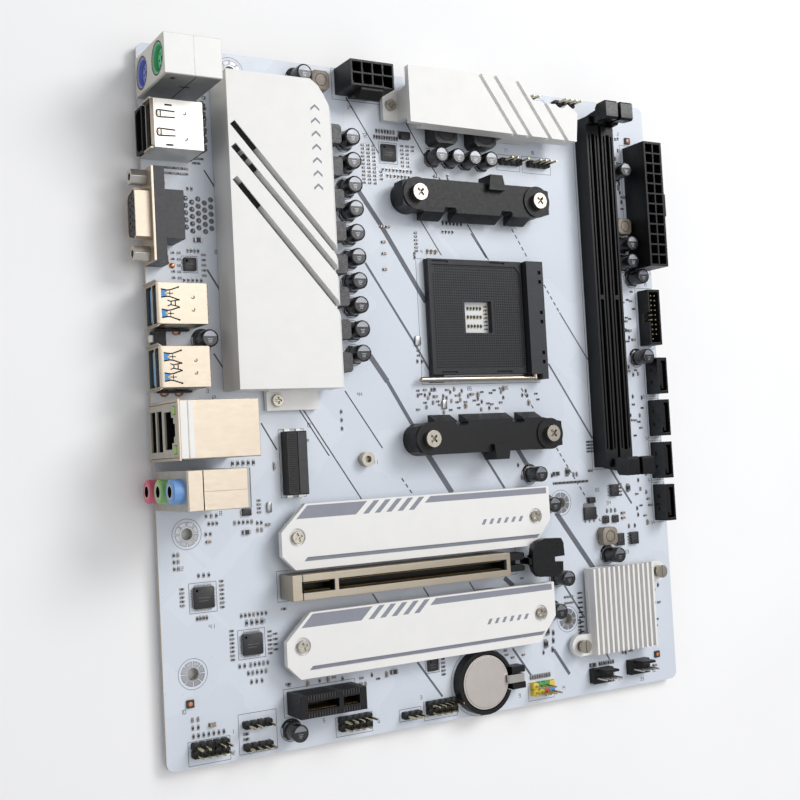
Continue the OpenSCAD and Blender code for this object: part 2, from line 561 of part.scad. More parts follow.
// ---------- drive covers ----------
module cover_outline(y) { // y is the cover's upper edge
  slab(cover_h - 2.5, cover_h, [[50.4, y], [154.2, y], [154.2, y - 12.9], [146.2, y - 22.3], [45.8, y - 22.3], [41, y - 17.3], [41, y - 9.2]]);
}
module m2_cover(y) {
  color([0.93, 0.92, 0.9]) board_frame() difference() {
    union() {
      cover_outline(y);
    }
    for (x = [46.9, 147.2]) at([x, y - 11.2], -1) {
      cylinder(h = 20, r = 1.7);
      translate([0, 0, cover_h + 0.3]) cylinder(h = 5, r = 3);
    }
    slab(cover_h - 0.5, 20, [[49, y - 19.6], [50.4, y - 18.2], [148.9, y - 18.2], [147.7, y - 19.6]]);
  }
}
module m2_cover_a() { m2_cover(-156.4); }
module m2_cover_b() { m2_cover(-193.3); }
module m2_fixings() {
  color([0.88, 0.87, 0.85]) board_frame() {
    for (y = [-156.4, -193.3], x = [46.9, 147.2]) at([x, y - 11.2]) difference() {
      union() {
        cylinder(h = cover_h - 2.5, r = 2.6);
        translate([0, 0, cover_h - 2.5]) cylinder(h = 2.6, r = 1.6);
        translate([0, 0, cover_h + 0.1]) cylinder(h = 0.9, r = 2.1);
      }
      for (a = [0, 90]) rotate(a + 20) translate([-1.5, -0.3, cover_h + 0.45]) cube([3, 0.6, 2]);
    }
    // post of the wireless card
    at([78, -142.4]) difference() {
      cylinder(h = 3.2, r = 2.6);
      translate([0, 0, 1]) cylinder(h = 4, r = 1.2);
    }
  }
}
module m2_connector(x0, x1, y0, y1, h, s) {
  difference() {
    block(x0, x1, y0, y1, 0, h);
    if (s > 0) block(x1 - 4.4, x1 + 1, y0 + 1, y1 - 1, 1.3, 2.5);
    else block(x0 - 1, x0 + 4.4, y0 + 1, y1 - 1, 1.3, 2.5);
  }
}
module m2_connectors() {
  color([0.13, 0.13, 0.14]) board_frame() for (y = [-156.4, -193.3])
    m2_connector(122, 130.5, y - 22.1, y - 0.3, 4.1, -1);
}
module wifi_socket() {
  color([0.13, 0.13, 0.14]) board_frame() m2_connector(45.6, 53.6, -153.3, -131.3, 4.2, 1);
}

// ---------- expansion slots ----------
x16_x0 = 42.4; x16_y0 = -188.6; x16_y1 = -180; slot_h = 11.2;
module pcie_x16_body() {
  color([0.1, 0.1, 0.11]) board_frame() difference() {
    union() {
      block(x16_x0 + 0.3, x16_x0 + x16_l - 0.3, x16_y0 + 0.4, x16_y1 - 0.4, 0, slot_h - 0.4);
      block(x16_x0 + x16_l + 0.1, 139.5, x16_y0 + 1, x16_y1 - 1, 0, 8.2);
      block(x16_x0 + x16_l - 1, x16_x0 + x16_l + 1, x16_y0 + 1, x16_y1 - 1, 0, 0.9);
      for (s = [0, 1]) block(139.5, 141.6, s == 0 ? x16_y0 + 1 : x16_y1 - 2.6, s == 0 ? x16_y0 + 2.6 : x16_y1 - 1, 0, 6);
    }
    difference() {
      block(x16_x0 + 4.2, x16_x0 + x16_l - 2.4, -185.9, -182.7, 2.2, 20);
      block(x16_x0 + 15.6, x16_x0 + 17.5, -190, -180, 0, 20);
    }
    block(132.5, 140, -185.2, -183.4, 3, 20);
  }
}
module pcie_x16_armour() {
  color([0.85, 0.82, 0.76]) board_frame() difference() {
    block(x16_x0, x16_x0 + x16_l, x16_y0, x16_y1, 0.9, slot_h);
    block(x16_x0 + 0.3, x16_x0 + x16_l - 0.3, x16_y0 + 0.4, x16_y1 - 0.4, 0, slot_h - 0.4);
    block(x16_x0 + 3.4, x16_x0 + 15.8, -186.2, -182.4, 0, 20);
    block(x16_x0 + 17.3, x16_x0 + x16_l - 1.7, -186.2, -182.4, 0, 20);
  }
}
module pcie_x16_latch() {
  color([0.12, 0.12, 0.13]) board_frame() union() {
    rod_y(-186, -182.6, 146, 3.2, 0.8);
    prism_y(-185.5, -183.1, [[142, 2.4], [150, 2.4], [150, 11], [143, 11], [141, 9.8], [141, 8.8], [142.4, 8.2], [142, 6]]);
    slab(8.2, 11, [[142, -182.2], [142.6, -179.2], [144.6, -177], [148, -176.1], [155.8, -176.5], [156.8, -178.4], [157, -183.3], [152.4, -183.4],
      [152.3, -185.3], [156.2, -185.4], [156, -188.9], [153.4, -191], [144.6, -190.3], [142.5, -188], [142, -186]]);
  }
}
module pcie_x1_slot() {
  color([0.1, 0.1, 0.11]) board_frame() difference() {
    block(43.2, 68.4, -228, -220.2, 0, 11);
    difference() {
      block(46, 65.6, -225.6, -222.6, 2.2, 20);
      block(57.7, 59.5, -230, -220, 0, 20);
    }
  }
}

// ---------- battery ----------
cell_c = [122.3, -227.6];
module battery_holder() {
  color([0.12, 0.12, 0.13]) board_frame() difference() {
    union() {
      at(cell_c) cylinder(h = 1.2, r = 11.9);
      difference() {
        at(cell_c) cylinder(h = 4.4, r = 11.9);
        at(cell_c, -1) cylinder(h = 10, r = 10.4);
        block(132, 140, -232, -223, 1.2, 10);
      }
      block(133.6, 139.6, -231.8, -229.4, 0, 5.2);
      block(133.6, 139.6, -225.8, -223.4, 0, 5.2);
      block(130, 139.6, -231.8, -223.4, 0, 1.2);
    }
  }
}
module battery_cell() {
  color([0.86, 0.86, 0.85]) board_frame() at(cell_c) union() {
    translate([0, 0, 1.3]) cylinder(h = 0.6, r = 8.9);
    translate([0, 0, 1.9]) cylinder(h = 2.4, r = 10);
    translate([0, 0, 4.3]) cylinder(h = 0.2, r = 9.3);
  }
}
module battery_clip() {
  color([0.85, 0.84, 0.82]) board_frame() union() {
    rod_y(-229.3, -225.9, 136.8, 2, 0.4);
    prism_y(-229.1, -226.1, [[135.2, 1.6], [138.4, 1.6], [138.4, 6.2], [131.6, 6.2], [131, 5.6], [131.2, 4.9], [137, 4.9], [137, 2.6], [135.2, 2.6]]);
  }
}

// ---------- headers and chips ----------
module header(x, y, nx, ny, skip = -1, base = 2.4, h = 8.4) {
  translate([x, y, 0]) {
    difference() {
      translate([-1.27, -1.27, 0]) cube([2.54 * nx, 2.54 * ny, base]);
      for (i = [0 : nx]) translate([2.54 * i - 1.27, 0, -1]) for (j = [-1.27, 2.54 * ny - 1.27])
        translate([0, j, 0]) rotate(45) cube([0.7, 0.7, 20], center = true);
    }
    for (i = [0 : nx - 1], j = [0 : ny - 1]) if (i + j * nx != skip)
      translate([2.54 * i - 0.32, 2.54 * j - 0.32, base]) cube([0.64, 0.64, h - base]);
  }
}
module pin_headers() {
  color([0.12, 0.12, 0.13]) board_frame() {
    header(9.6, -235.4, 5, 2, 7);
    header(27.8, -228.8, 4, 1, 2);
    header(27.8, -236.2, 4, 1);
    header(63.4, -235.4, 5, 2, 4);
    header(89, -235.2, 3, 1);
    header(99.3, -235.4, 5, 2, 4);
    header(146.4, -235.4, 4, 2, 7);
    header(145.4, -28.9, 4, 1, 2);
    header(158.9, -28.9, 4, 1);
    header(177.4, -234.4, 4, 1);
    header(196.2, -233, 4, 1);
    header(154.9, -3.4, 3, 1);
    header(173.4, -3.2, 4, 1);
  }
}
module chip(x, y, w, d, h) { translate([x - w / 2, y - d / 2, 0]) cube([w, d, h]); }
module chips() {
  color([0.2, 0.2, 0.21]) board_frame() {
    chip(14.8, -185, 7.3, 7.3, 1.5);
    chip(31.3, -202.3, 7.3, 7.3, 1.5);
    chip(15.3, -74, 4.5, 4.5, 1);
    chip(101.8, -218.8, 4.5, 4.5, 1);
    chip(94.5, -29.6, 6.2, 6.2, 1);
    chip(192, -160.5, 4, 5, 1.5);
    chip(179, -169, 6, 5, 1.2);
    chip(187, -172, 3, 3, 1);
    chip(192, -172, 3, 3, 1);
    chip(193.5, -180.5, 4, 5, 1.5);
    chip(201, -180.5, 4, 5, 1.5);
    chip(31.5, -158, 3.6, 2.8, 1.2);
    chip(39.9, -157, 1.8, 3.8, 1.2);
    chip(102.8, -99.6, 2.7, 3.8, 1.2);
    chip(113, -123.5, 2.2, 4, 1.2);
    chip(101.5, -22.8, 4.4, 2.6, 2.2);
    chip(180, -163.7, 4.4, 2.6, 2.2);
    chip(66.2, -6.4, 7, 7, 4);
    chip(203.7, -52.2, 7, 6.6, 4);
    chip(186.1, -178.5, 7.6, 7.2, 4);
  }
}

pcb();
solder_tails();
ps2_shell();
ps2_sockets();
video_shell();
video_core();
vga_shell();
vga_body();
vga_jackscrews();
usb3_shell_a();
usb3_shell_b();
usb3_tongues();
cmos_switch_body();
cmos_button();
lan_usb_shell();
lan_usb_core();
audio_body();
audio_jack_pink();
audio_jack_green();
audio_jack_blue();
vrm_heatsink();
top_heatsink();
chipset_heatsink();
heatsink_fixings();
vrm_chokes();
vrm_capacitors();
soc_chokes();
top_capacitors();
scattered_capacitors();
eps_connector();
atx_connector();
cpu_socket_base();
cpu_socket_cover();
cpu_socket_lever();
cooler_bracket_upper();
cooler_bracket_lower();
bracket_screws();
cooler_backplate();
dimm_slot_a();
dimm_slot_b();
dimm_latch_a_upper();
dimm_latch_a_lower();
dimm_latch_b_upper();
dimm_latch_b_lower();
usb3_header();
sata_ports();
m2_cover_a();
m2_cover_b();
m2_fixings();
m2_connectors();
wifi_socket();
pcie_x16_body();
pcie_x16_armour();
pcie_x16_latch();
pcie_x1_slot();
battery_holder();
battery_cell();
battery_clip();
pin_headers();
chips();
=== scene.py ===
import math
import random

import bpy
from mathutils import Matrix, Vector
from mathutils.bvhtree import BVHTree


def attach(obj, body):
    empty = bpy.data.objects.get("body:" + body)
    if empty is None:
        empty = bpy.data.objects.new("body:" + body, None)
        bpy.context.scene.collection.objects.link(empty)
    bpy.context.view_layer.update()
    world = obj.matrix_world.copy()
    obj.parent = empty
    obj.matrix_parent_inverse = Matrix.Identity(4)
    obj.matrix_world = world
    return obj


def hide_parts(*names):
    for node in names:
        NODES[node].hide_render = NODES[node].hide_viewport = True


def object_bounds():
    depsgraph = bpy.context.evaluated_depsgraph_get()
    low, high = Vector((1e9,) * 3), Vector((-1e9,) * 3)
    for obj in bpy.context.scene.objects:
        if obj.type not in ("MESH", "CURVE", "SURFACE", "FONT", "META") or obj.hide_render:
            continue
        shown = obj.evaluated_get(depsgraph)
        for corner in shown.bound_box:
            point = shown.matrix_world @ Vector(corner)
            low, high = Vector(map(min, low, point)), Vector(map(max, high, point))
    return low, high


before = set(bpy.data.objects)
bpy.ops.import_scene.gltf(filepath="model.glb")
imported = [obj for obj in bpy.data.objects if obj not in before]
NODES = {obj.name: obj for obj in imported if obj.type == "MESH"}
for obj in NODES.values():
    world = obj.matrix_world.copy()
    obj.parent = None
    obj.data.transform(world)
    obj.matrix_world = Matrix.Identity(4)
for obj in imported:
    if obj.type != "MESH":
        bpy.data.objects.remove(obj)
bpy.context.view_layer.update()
scene = bpy.context.scene
BOARD = "board"
T = math.tau

# Everything is drawn in millimetres from the board's rear corner, z = 0 on its top face,
# and moved to the row frame when a piece is made.
OX, OY, OZ = -87.63, 186.69, 1.6


def row(p):
    return ((p[0] + OX) / 1000, (p[1] + OY) / 1000, (p[2] + OZ) / 1000)


# ------------------------------------------------------------------ materials
def lin(c):
    return tuple((x / 12.92 if x <= 0.04045 else ((x + 0.055) / 1.055) ** 2.4) for x in (v / 255 for v in c)) + (1.0,)


def scaled(c, k):
    return tuple(min(1.0, x * k) for x in c[:3]) + (1.0,)


class Nodes:
    def __init__(s, name):
        s.mat = bpy.data.materials.new(name)
        s.mat.use_nodes = True
        s.t = s.mat.node_tree
        s.t.nodes.clear()
        s.out = s.t.nodes.new("ShaderNodeOutputMaterial")
        s.b = s.t.nodes.new("ShaderNodeBsdfPrincipled")
        s.t.links.new(s.b.outputs[0], s.out.inputs[0])
        s.tc = s.t.nodes.new("ShaderNodeTexCoord")
        s.co = s.tc.outputs["Object"]

    def new(s, kind, **props):
        n = s.t.nodes.new(kind)
        for k, v in props.items():
            setattr(n, k, v)
        return n

    def link(s, a, b):
        s.t.links.new(a, b)

    def noise(s, scale, detail=3.0, rough=0.55, stretch=None, distortion=0.0):
        n = s.new("ShaderNodeTexNoise")
        n.inputs["Scale"].default_value = scale
        n.inputs["Detail"].default_value = detail
        n.inputs["Roughness"].default_value = rough
        n.inputs["Distortion"].default_value = distortion
        src = s.co
        if stretch:
            m = s.new("ShaderNodeMapping")
            m.inputs["Scale"].default_value = stretch
            s.link(src, m.inputs["Vector"])
            src = m.outputs[0]
        s.link(src, n.inputs["Vector"])
        return n.outputs["Fac"]

    def ramp(s, fac, lo, hi, a, b, smooth=False):
        n = s.new("ShaderNodeMapRange")
        if smooth:
            n.interpolation_type = "SMOOTHSTEP"
        n.inputs["From Min"].default_value = lo
        n.inputs["From Max"].default_value = hi
        n.inputs["To Min"].default_value = a
        n.inputs["To Max"].default_value = b
        s.link(fac, n.inputs["Value"])
        return n.outputs["Result"]

    def math(s, op, a, b=None, c=None):
        n = s.new("ShaderNodeMath", operation=op)
        for i, v in enumerate((a, b, c)):
            if v is None:
                continue
            if isinstance(v, (int, float)):
                n.inputs[i].default_value = v
            else:
                s.link(v, n.inputs[i])
        return n.outputs[0]

    def mix(s, fac, a, b):
        n = s.new("ShaderNodeMix", data_type="RGBA")
        if isinstance(fac, (int, float)):
            n.inputs[0].default_value = fac
        else:
            s.link(fac, n.inputs[0])
        for i, v in ((6, a), (7, b)):
            if isinstance(v, tuple):
                n.inputs[i].default_value = v
            else:
                s.link(v, n.inputs[i])
        return n.outputs[2]

    def xyz(s, src=None):
        n = s.new("ShaderNodeSeparateXYZ")
        s.link(src or s.co, n.inputs[0])
        return n.outputs

    def bump(s, height, strength, dist, normal=None):
        n = s.new("ShaderNodeBump")
        n.inputs["Strength"].default_value = strength
        n.inputs["Distance"].default_value = dist
        s.link(height, n.inputs["Height"])
        if normal is not None:
            s.link(normal, n.inputs["Normal"])
        return n.outputs[0]


def material(name, rgb, rough=0.45, metal=0.0, var=0.05, vscale=160.0, grain=3500.0, bump=0.12,
             dist=0.00002, rvar=0.06, stretch=None, coat=0.0, coat_rough=0.15, spec=0.5, tint=None):
    """A general finish: patchy colour, fine grain in the surface, and a roughness that varies."""
    n = Nodes(name)
    base = lin(rgb)
    other = lin(tint) if tint else scaled(base, 1 + 2 * var)
    patches = n.ramp(n.noise(vscale, 4.0, 0.6, stretch), 0.3, 0.7, 0.0, 1.0)
    n.link(n.mix(patches, scaled(base, 1 - var), other), n.b.inputs["Base Color"])
    g = n.noise(grain, 2.0, 0.5, stretch)
    n.link(n.ramp(n.noise(vscale * 2.7, 3.0, 0.6, stretch), 0.3, 0.7, max(0.02, rough - rvar), min(1.0, rough + rvar)), n.b.inputs["Roughness"])
    n.link(n.bump(g, bump, dist), n.b.inputs["Normal"])
    n.b.inputs["Metallic"].default_value = metal
    n.b.inputs["Specular IOR Level"].default_value = spec
    if coat:
        n.b.inputs["Coat Weight"].default_value = coat
        n.b.inputs["Coat Roughness"].default_value = coat_rough
    return n.mat


def board_material():
    """White solder mask: buried copper areas show faintly, tented vias and trace bundles dent it, and the cut edge is bare laminate."""
    n = Nodes("board_mask")
    x, y, z = n.xyz()
    geo = n.new("ShaderNodeNewGeometry")
    nz = n.xyz(geo.outputs["Normal"])[2]
    top = n.math("GREATER_THAN", n.math("ABSOLUTE", nz), 0.6)
    # copper pours: broad angular cells
    v = n.new("ShaderNodeTexVoronoi", distance="CHEBYCHEV", feature="F1")
    v.inputs["Scale"].default_value = 62.0
    m = n.new("ShaderNodeMapping")
    m.inputs["Rotation"].default_value = (0, 0, math.radians(45))
    n.link(n.co, m.inputs["Vector"])
    n.link(m.outputs[0], v.inputs["Vector"])
    cell = n.xyz(v.outputs["Color"])[0]
    # trace bundles inside some of the cells
    w = n.new("ShaderNodeTexWave", wave_type="BANDS", bands_direction="X")
    w.inputs["Scale"].default_value = 300.0
    w.inputs["Distortion"].default_value = 0.0
    n.link(m.outputs[0], w.inputs["Vector"])
    lines = n.math("MULTIPLY", n.ramp(w.outputs["Fac"], 0.55, 0.75, 0.0, 1.0), n.math("GREATER_THAN", cell, 0.62))
    # vias
    d = n.new("ShaderNodeTexVoronoi", distance="EUCLIDEAN", feature="F1")
    d.inputs["Scale"].default_value = 330.0
    d.inputs["Randomness"].default_value = 0.85
    n.link(n.co, d.inputs["Vector"])
    via = n.math("MULTIPLY", n.ramp(d.outputs["Distance"], 0.05, 0.09, 1.0, 0.0), n.math("GREATER_THAN", n.noise(45.0, 2.0), 0.53))
    white, shade = lin((216, 222, 231)), lin((209, 216, 226))
    col = n.mix(n.ramp(cell, 0.35, 0.36, 0.0, 0.55), white, shade)
    col = n.mix(n.math("MULTIPLY", lines, 0.22), col, lin((201, 208, 221)))
    col = n.mix(n.math("MULTIPLY", via, 0.5), col, lin((172, 178, 190)))
    edge = n.mix(n.ramp(n.noise(900.0, 3.0, 0.6, (1, 1, 6)), 0.35, 0.65, 0.0, 1.0), lin((196, 184, 160)), lin((166, 150, 124)))
    n.link(n.mix(top, edge, col), n.b.inputs["Base Color"])
    weave = n.noise(1500.0, 2.0)
    h = n.math("ADD", n.math("MULTIPLY", lines, 0.25), n.math("MULTIPLY", via, -0.8))
    h = n.math("ADD", h, n.math("MULTIPLY", weave, 0.25))
    n.link(n.bump(h, 0.25, 0.00003), n.b.inputs["Normal"])
    n.link(n.ramp(n.noise(400.0, 3.0), 0.3, 0.7, 0.3, 0.42), n.b.inputs["Roughness"])
    n.b.inputs["Specular IOR Level"].default_value = 0.45
    return n.mat


def nickel(name, rgb, rough=0.26, streak=(1, 1, 1), dark=0.82, grain=1800.0, bump=0.1):
    """Plated sheet metal: drawn streaks, faint stains and a soft orange peel."""
    n = Nodes(name)
    base = lin(rgb)
    s = n.ramp(n.noise(260.0, 4.0, 0.65, streak), 0.28, 0.72, 0.0, 1.0)
    stain = n.ramp(n.noise(70.0, 3.0, 0.6), 0.35, 0.75, 0.0, 0.5)
    col = n.mix(n.math("MULTIPLY", s, 0.6), scaled(base, (1 + dark) / 2), scaled(base, 1.05))
    col = n.mix(n.math("MULTIPLY", stain, 0.6), col, scaled(base, 0.93))
    n.link(col, n.b.inputs["Base Color"])
    n.b.inputs["Metallic"].default_value = 1.0
    n.link(n.ramp(n.noise(420.0, 3.0, 0.6, streak), 0.3, 0.7, rough - 0.03, rough + 0.05), n.b.inputs["Roughness"])
    n.link(n.bump(n.noise(grain, 3.0, 0.5, streak), bump * 0.35, 0.00001), n.b.inputs["Normal"])
    return n.mat


def capsleeve():
    n = Nodes("capacitor_black")
    s = n.ramp(n.noise(500.0, 3.0), 0.3, 0.7, 0.0, 1.0)
    n.link(n.mix(s, lin((22, 22, 24)), lin((38, 38, 41))), n.b.inputs["Base Color"])
    n.link(n.ramp(n.noise(900.0, 2.0), 0.3, 0.7, 0.22, 0.36), n.b.inputs["Roughness"])
    n.link(n.bump(n.noise(2600.0, 2.0), 0.08, 0.00002), n.b.inputs["Normal"])
    n.b.inputs["Coat Weight"].default_value = 0.35
    n.b.inputs["Coat Roughness"].default_value = 0.2
    return n.mat


def ferrite():
    n = Nodes("ferrite_grey")
    sp = n.ramp(n.noise(2600.0, 4.0, 0.75), 0.45, 0.62, 0.0, 1.0)
    n.link(n.mix(sp, lin((62, 62, 64)), lin((98, 97, 98))), n.b.inputs["Base Color"])
    n.link(n.ramp(n.noise(1800.0, 3.0), 0.3, 0.7, 0.38, 0.6), n.b.inputs["Roughness"])
    n.link(n.bump(n.noise(3000.0, 4.0, 0.7), 0.3, 0.00003), n.b.inputs["Normal"])
    n.b.inputs["Metallic"].default_value = 0.35
    return n.mat


M = {
    "board": board_material(),
    "silk": material("silk_ink", (98, 101, 110), 0.6, var=0.08, grain=5000, bump=0.15),
    "silk_thin": material("silk_ink_light", (52, 55, 63), 0.6, var=0.08, grain=5000, bump=0.15),
    "silk_black": material("silk_ink_dark", (48, 50, 57), 0.6, var=0.1, grain=5000, bump=0.15),
    "solder": nickel("tinned", (158, 158, 160), 0.36, grain=2500, bump=0.3),
    "gold": nickel("gold_plating", (176, 150, 100), 0.36),
    "pin": nickel("pin_metal", (196, 184, 150), 0.22),
    "beige": material("beige_moulding", (200, 198, 188), 0.42, var=0.03, grain=2200, bump=0.18, rvar=0.05),
    "white_top_painted_highlight": material("white_painted_highlight", (240, 240, 237), 0.36, var=0.015, grain=2600, bump=0.1),
    "grey_metal_and_side_shade": material("grey_metal_and_side_shade", (150, 150, 150), 0.34, 0.7, var=0.05, grain=1800, bump=0.12),
    "steel": nickel("bright_steel", (204, 201, 195), 0.34, (1, 3, 1)),
    "nickel": nickel("warm_nickel", (196, 184, 167), 0.38, (1, 3, 1)),
    "nickel_dark": nickel("armour_nickel", (178, 168, 151), 0.38, (0.5, 3, 1)),
    "black": material("black_nylon", (17, 17, 19), 0.44, var=0.12, vscale=300, grain=2600, bump=0.2, rvar=0.07, spec=0.32),
    "black_gloss": material("black_gloss", (15, 15, 17), 0.3, var=0.1, vscale=300, grain=2600, bump=0.08, rvar=0.05, spec=0.4),
    "dark": material("dark_grey_nylon", (46, 46, 50), 0.45, var=0.1, vscale=300, grain=2600, bump=0.2, rvar=0.08),
    # near black for cut lines and seams, and as painted shade in holes and gaps
    "void": material("black_gaps_and_painted_shade", (8, 8, 9), 0.75, var=0.15, grain=2000, bump=0.2, spec=0.2),
    "usb_blue": material("blue_moulding", (58, 142, 208), 0.38, var=0.05, grain=2400, bump=0.15),
    "white": material("white_moulding", (236, 236, 233), 0.4, var=0.02, grain=2400, bump=0.12),
    "powder": material("powder_coat", (236, 235, 232), 0.5, var=0.012, vscale=120, grain=2300, bump=0.3, dist=0.00003, rvar=0.05),
    # grey for chevron marks, and as painted shade on groove and slot floors
    "groove": material("grey_painted_groove_shade_and_marks", (124, 127, 138), 0.45, var=0.05, grain=2300, bump=0.25),
    "deco": material("printed_grey", (138, 141, 152), 0.5, var=0.03, grain=3000, bump=0.12),
    "sleeve": capsleeve(),
    "can_top": nickel("can_aluminium", (138, 140, 145), 0.42, (1, 1, 1), grain=2600),
    "ferrite": ferrite(),
    "choke_dark": material("choke_dark", (40, 39, 41), 0.42, 0.15, var=0.15, vscale=700, grain=2800, bump=0.3, rvar=0.1),
    "choke_brown": material("choke_taupe", (138, 128, 116), 0.48, 0.1, var=0.12, vscale=900, grain=2800, bump=0.3, rvar=0.1),
    "copper": nickel("copper_end", (196, 132, 92), 0.3),
    "socket": material("socket_grey", (35, 36, 40), 0.46, var=0.07, vscale=260, grain=2600, bump=0.22, rvar=0.07, spec=0.35),
    "socket_light": material("socket_grey_light", (48, 49, 54), 0.46, var=0.07, vscale=260, grain=2600, bump=0.22, spec=0.35),
    "lever": nickel("lever_nickel", (196, 184, 166), 0.32, (1, 1, 1)),
    "screw_black": material("black_oxide", (30, 30, 32), 0.3, 0.8, var=0.1, vscale=500, grain=2600, bump=0.15),
    "screw": nickel("screw_nickel", (182, 176, 164), 0.34, (1, 1, 1)),
    "cell": nickel("cell_steel", (205, 198, 193), 0.46, (1, 1, 1), dark=0.93, grain=2200, bump=0.06),
    "epoxy": material("chip_epoxy", (43, 43, 45), 0.48, var=0.1, vscale=500, grain=3000, bump=0.25, rvar=0.1),
    "epoxy_grey": material("chip_epoxy_grey", (84, 84, 84), 0.5, var=0.1, vscale=500, grain=3000, bump=0.25),
    "res": material("resistor_body", (36, 35, 38), 0.4, var=0.15, vscale=900, grain=3500, bump=0.2),
    "mlcc": material("ceramic_body", (150, 126, 104), 0.4, var=0.12, vscale=900, grain=3500, bump=0.2),
    "mlcc_grey": material("ceramic_grey", (128, 122, 118), 0.4, var=0.12, vscale=900, grain=3500, bump=0.2),
    "brass": nickel("brass_spring", (206, 170, 104), 0.26, (1, 1, 1)),
    "ps2_blue": material("ps2_violet", (88, 96, 176), 0.36, var=0.05, grain=2400, bump=0.12),
    "ps2_green": material("ps2_green", (58, 152, 98), 0.36, var=0.05, grain=2400, bump=0.12),
    "pink": material("jack_pink", (216, 116, 138), 0.36, var=0.04, grain=2400, bump=0.12),
    "lime": material("jack_lime", (150, 196, 128), 0.36, var=0.04, grain=2400, bump=0.12),
    "sky": material("jack_blue", (126, 164, 214), 0.36, var=0.04, grain=2400, bump=0.12),
    "yellow": material("header_yellow", (222, 196, 62), 0.42, var=0.05, grain=2400, bump=0.15),
    "green": material("header_green", (70, 158, 84), 0.42, var=0.05, grain=2400, bump=0.15),
    "red": material("header_red", (196, 70, 58), 0.42, var=0.05, grain=2400, bump=0.15),
    "led_green": material("led_green", (142, 186, 74), 0.3, var=0.05, grain=2400, bump=0.1, coat=0.5),
    "led_amber": material("led_amber", (206, 196, 86), 0.3, var=0.05, grain=2400, bump=0.1, coat=0.5),
    "laminate": material("bare_laminate", (222, 224, 222), 0.5, var=0.03, grain=1800, bump=0.2),
}



def jack_material(name, rgb, zc):
    """One third of the jack housing: grey moulding, with the barrel in its own colour and the bore near black as
    painted shade.
    """
    n = Nodes(name)
    x, y, z = n.xyz()
    dy, dz = n.math("SUBTRACT", y, 0.03769), n.math("SUBTRACT", z, zc)
    r2 = n.math("ADD", n.math("MULTIPLY", dy, dy), n.math("MULTIPLY", dz, dz))
    barrel = n.math("MULTIPLY", n.math("LESS_THAN", r2, 0.00396 ** 2), n.math("LESS_THAN", x, -0.0881))
    bore_painted_shade = n.math("LESS_THAN", r2, 0.00186 ** 2)
    v = n.ramp(n.noise(300.0, 3.0), 0.3, 0.7, 0.0, 1.0)
    grey = n.mix(v, lin((158, 155, 147)), lin((172, 169, 160)))
    own = n.mix(v, scaled(lin(rgb), 0.95), scaled(lin(rgb), 1.05))
    col = n.mix(barrel, grey, own)
    # near black inside the bore radius: painted shade in the plug hole
    n.link(n.mix(bore_painted_shade, col, lin((18, 18, 19))), n.b.inputs["Base Color"])
    n.link(n.ramp(n.noise(700.0, 2.0), 0.3, 0.7, 0.3, 0.42), n.b.inputs["Roughness"])
    n.link(n.bump(n.noise(2400.0, 2.0), 0.12, 0.00002), n.b.inputs["Normal"])
    return n.mat


def split_material(name, lo, hi, zs, rough=0.36):
    """Two moulding colours on one part, changing at height zs."""
    n = Nodes(name)
    x, y, z = n.xyz()
    v = n.ramp(n.noise(300.0, 3.0), 0.3, 0.7, 0.95, 1.05)
    up = n.math("GREATER_THAN", z, zs)
    col = n.mix(up, lin(lo), lin(hi))
    m = n.new("ShaderNodeMix", data_type="RGBA", blend_type="MULTIPLY")
    m.inputs[0].default_value = 1.0
    n.link(col, m.inputs[6])
    c = n.new("ShaderNodeCombineColor")
    for i in range(3):
        n.link(v, c.inputs[i])
    n.link(c.outputs[0], m.inputs[7])
    n.link(m.outputs[2], n.b.inputs["Base Color"])
    n.b.inputs["Roughness"].default_value = rough
    n.link(n.bump(n.noise(2400.0, 2.0), 0.12, 0.00002), n.b.inputs["Normal"])
    return n.mat


def front_material(name, face, recess_painted_shade, xs, rough=0.42):
    """A moulding whose front face keeps its colour; its recesses behind the front are black as painted shade."""
    n = Nodes(name)
    x, y, z = n.xyz()
    v = n.ramp(n.noise(320.0, 3.0), 0.3, 0.7, 0.0, 1.0)
    own = n.mix(v, scaled(lin(face), 0.94), scaled(lin(face), 1.05))
    # black for all surfaces behind xs: painted shade in the openings
    n.link(n.mix(n.math("GREATER_THAN", x, xs), own, lin(recess_painted_shade)), n.b.inputs["Base Color"])
    n.link(n.ramp(n.noise(700.0, 2.0), 0.3, 0.7, rough - 0.06, rough + 0.06), n.b.inputs["Roughness"])
    n.link(n.bump(n.noise(2400.0, 2.0), 0.12, 0.00002), n.b.inputs["Normal"])
    return n.mat


# the network and twin port insert: beige front, its openings black as painted shade
M["lan_core"] = front_material("stack_front", (176, 171, 158), (14, 14, 15), (-0.35 + OX) / 1000)
# a brighter copy of the blue moulding: painted highlight for the tongue fronts
M["usb_blue_painted_lit"] = material("blue_moulding_painted_highlight", (96, 176, 232), 0.4, var=0.05, grain=2400, bump=0.12)
M["jack_a"] = jack_material("jack_third_rose", (216, 104, 128), 0.0062)
M["jack_b"] = jack_material("jack_third_lime", (140, 190, 118), 0.0174)
M["jack_c"] = jack_material("jack_third_blue", (112, 156, 212), 0.0286)
M["ps2_pair"] = split_material("twin_socket_colours", (138, 148, 226), (104, 206, 148), (14.25 + OZ) / 1000)
M["amber"] = material("lamp_orange", (206, 120, 52), 0.3, var=0.05, grain=2400, bump=0.1, coat=0.5)


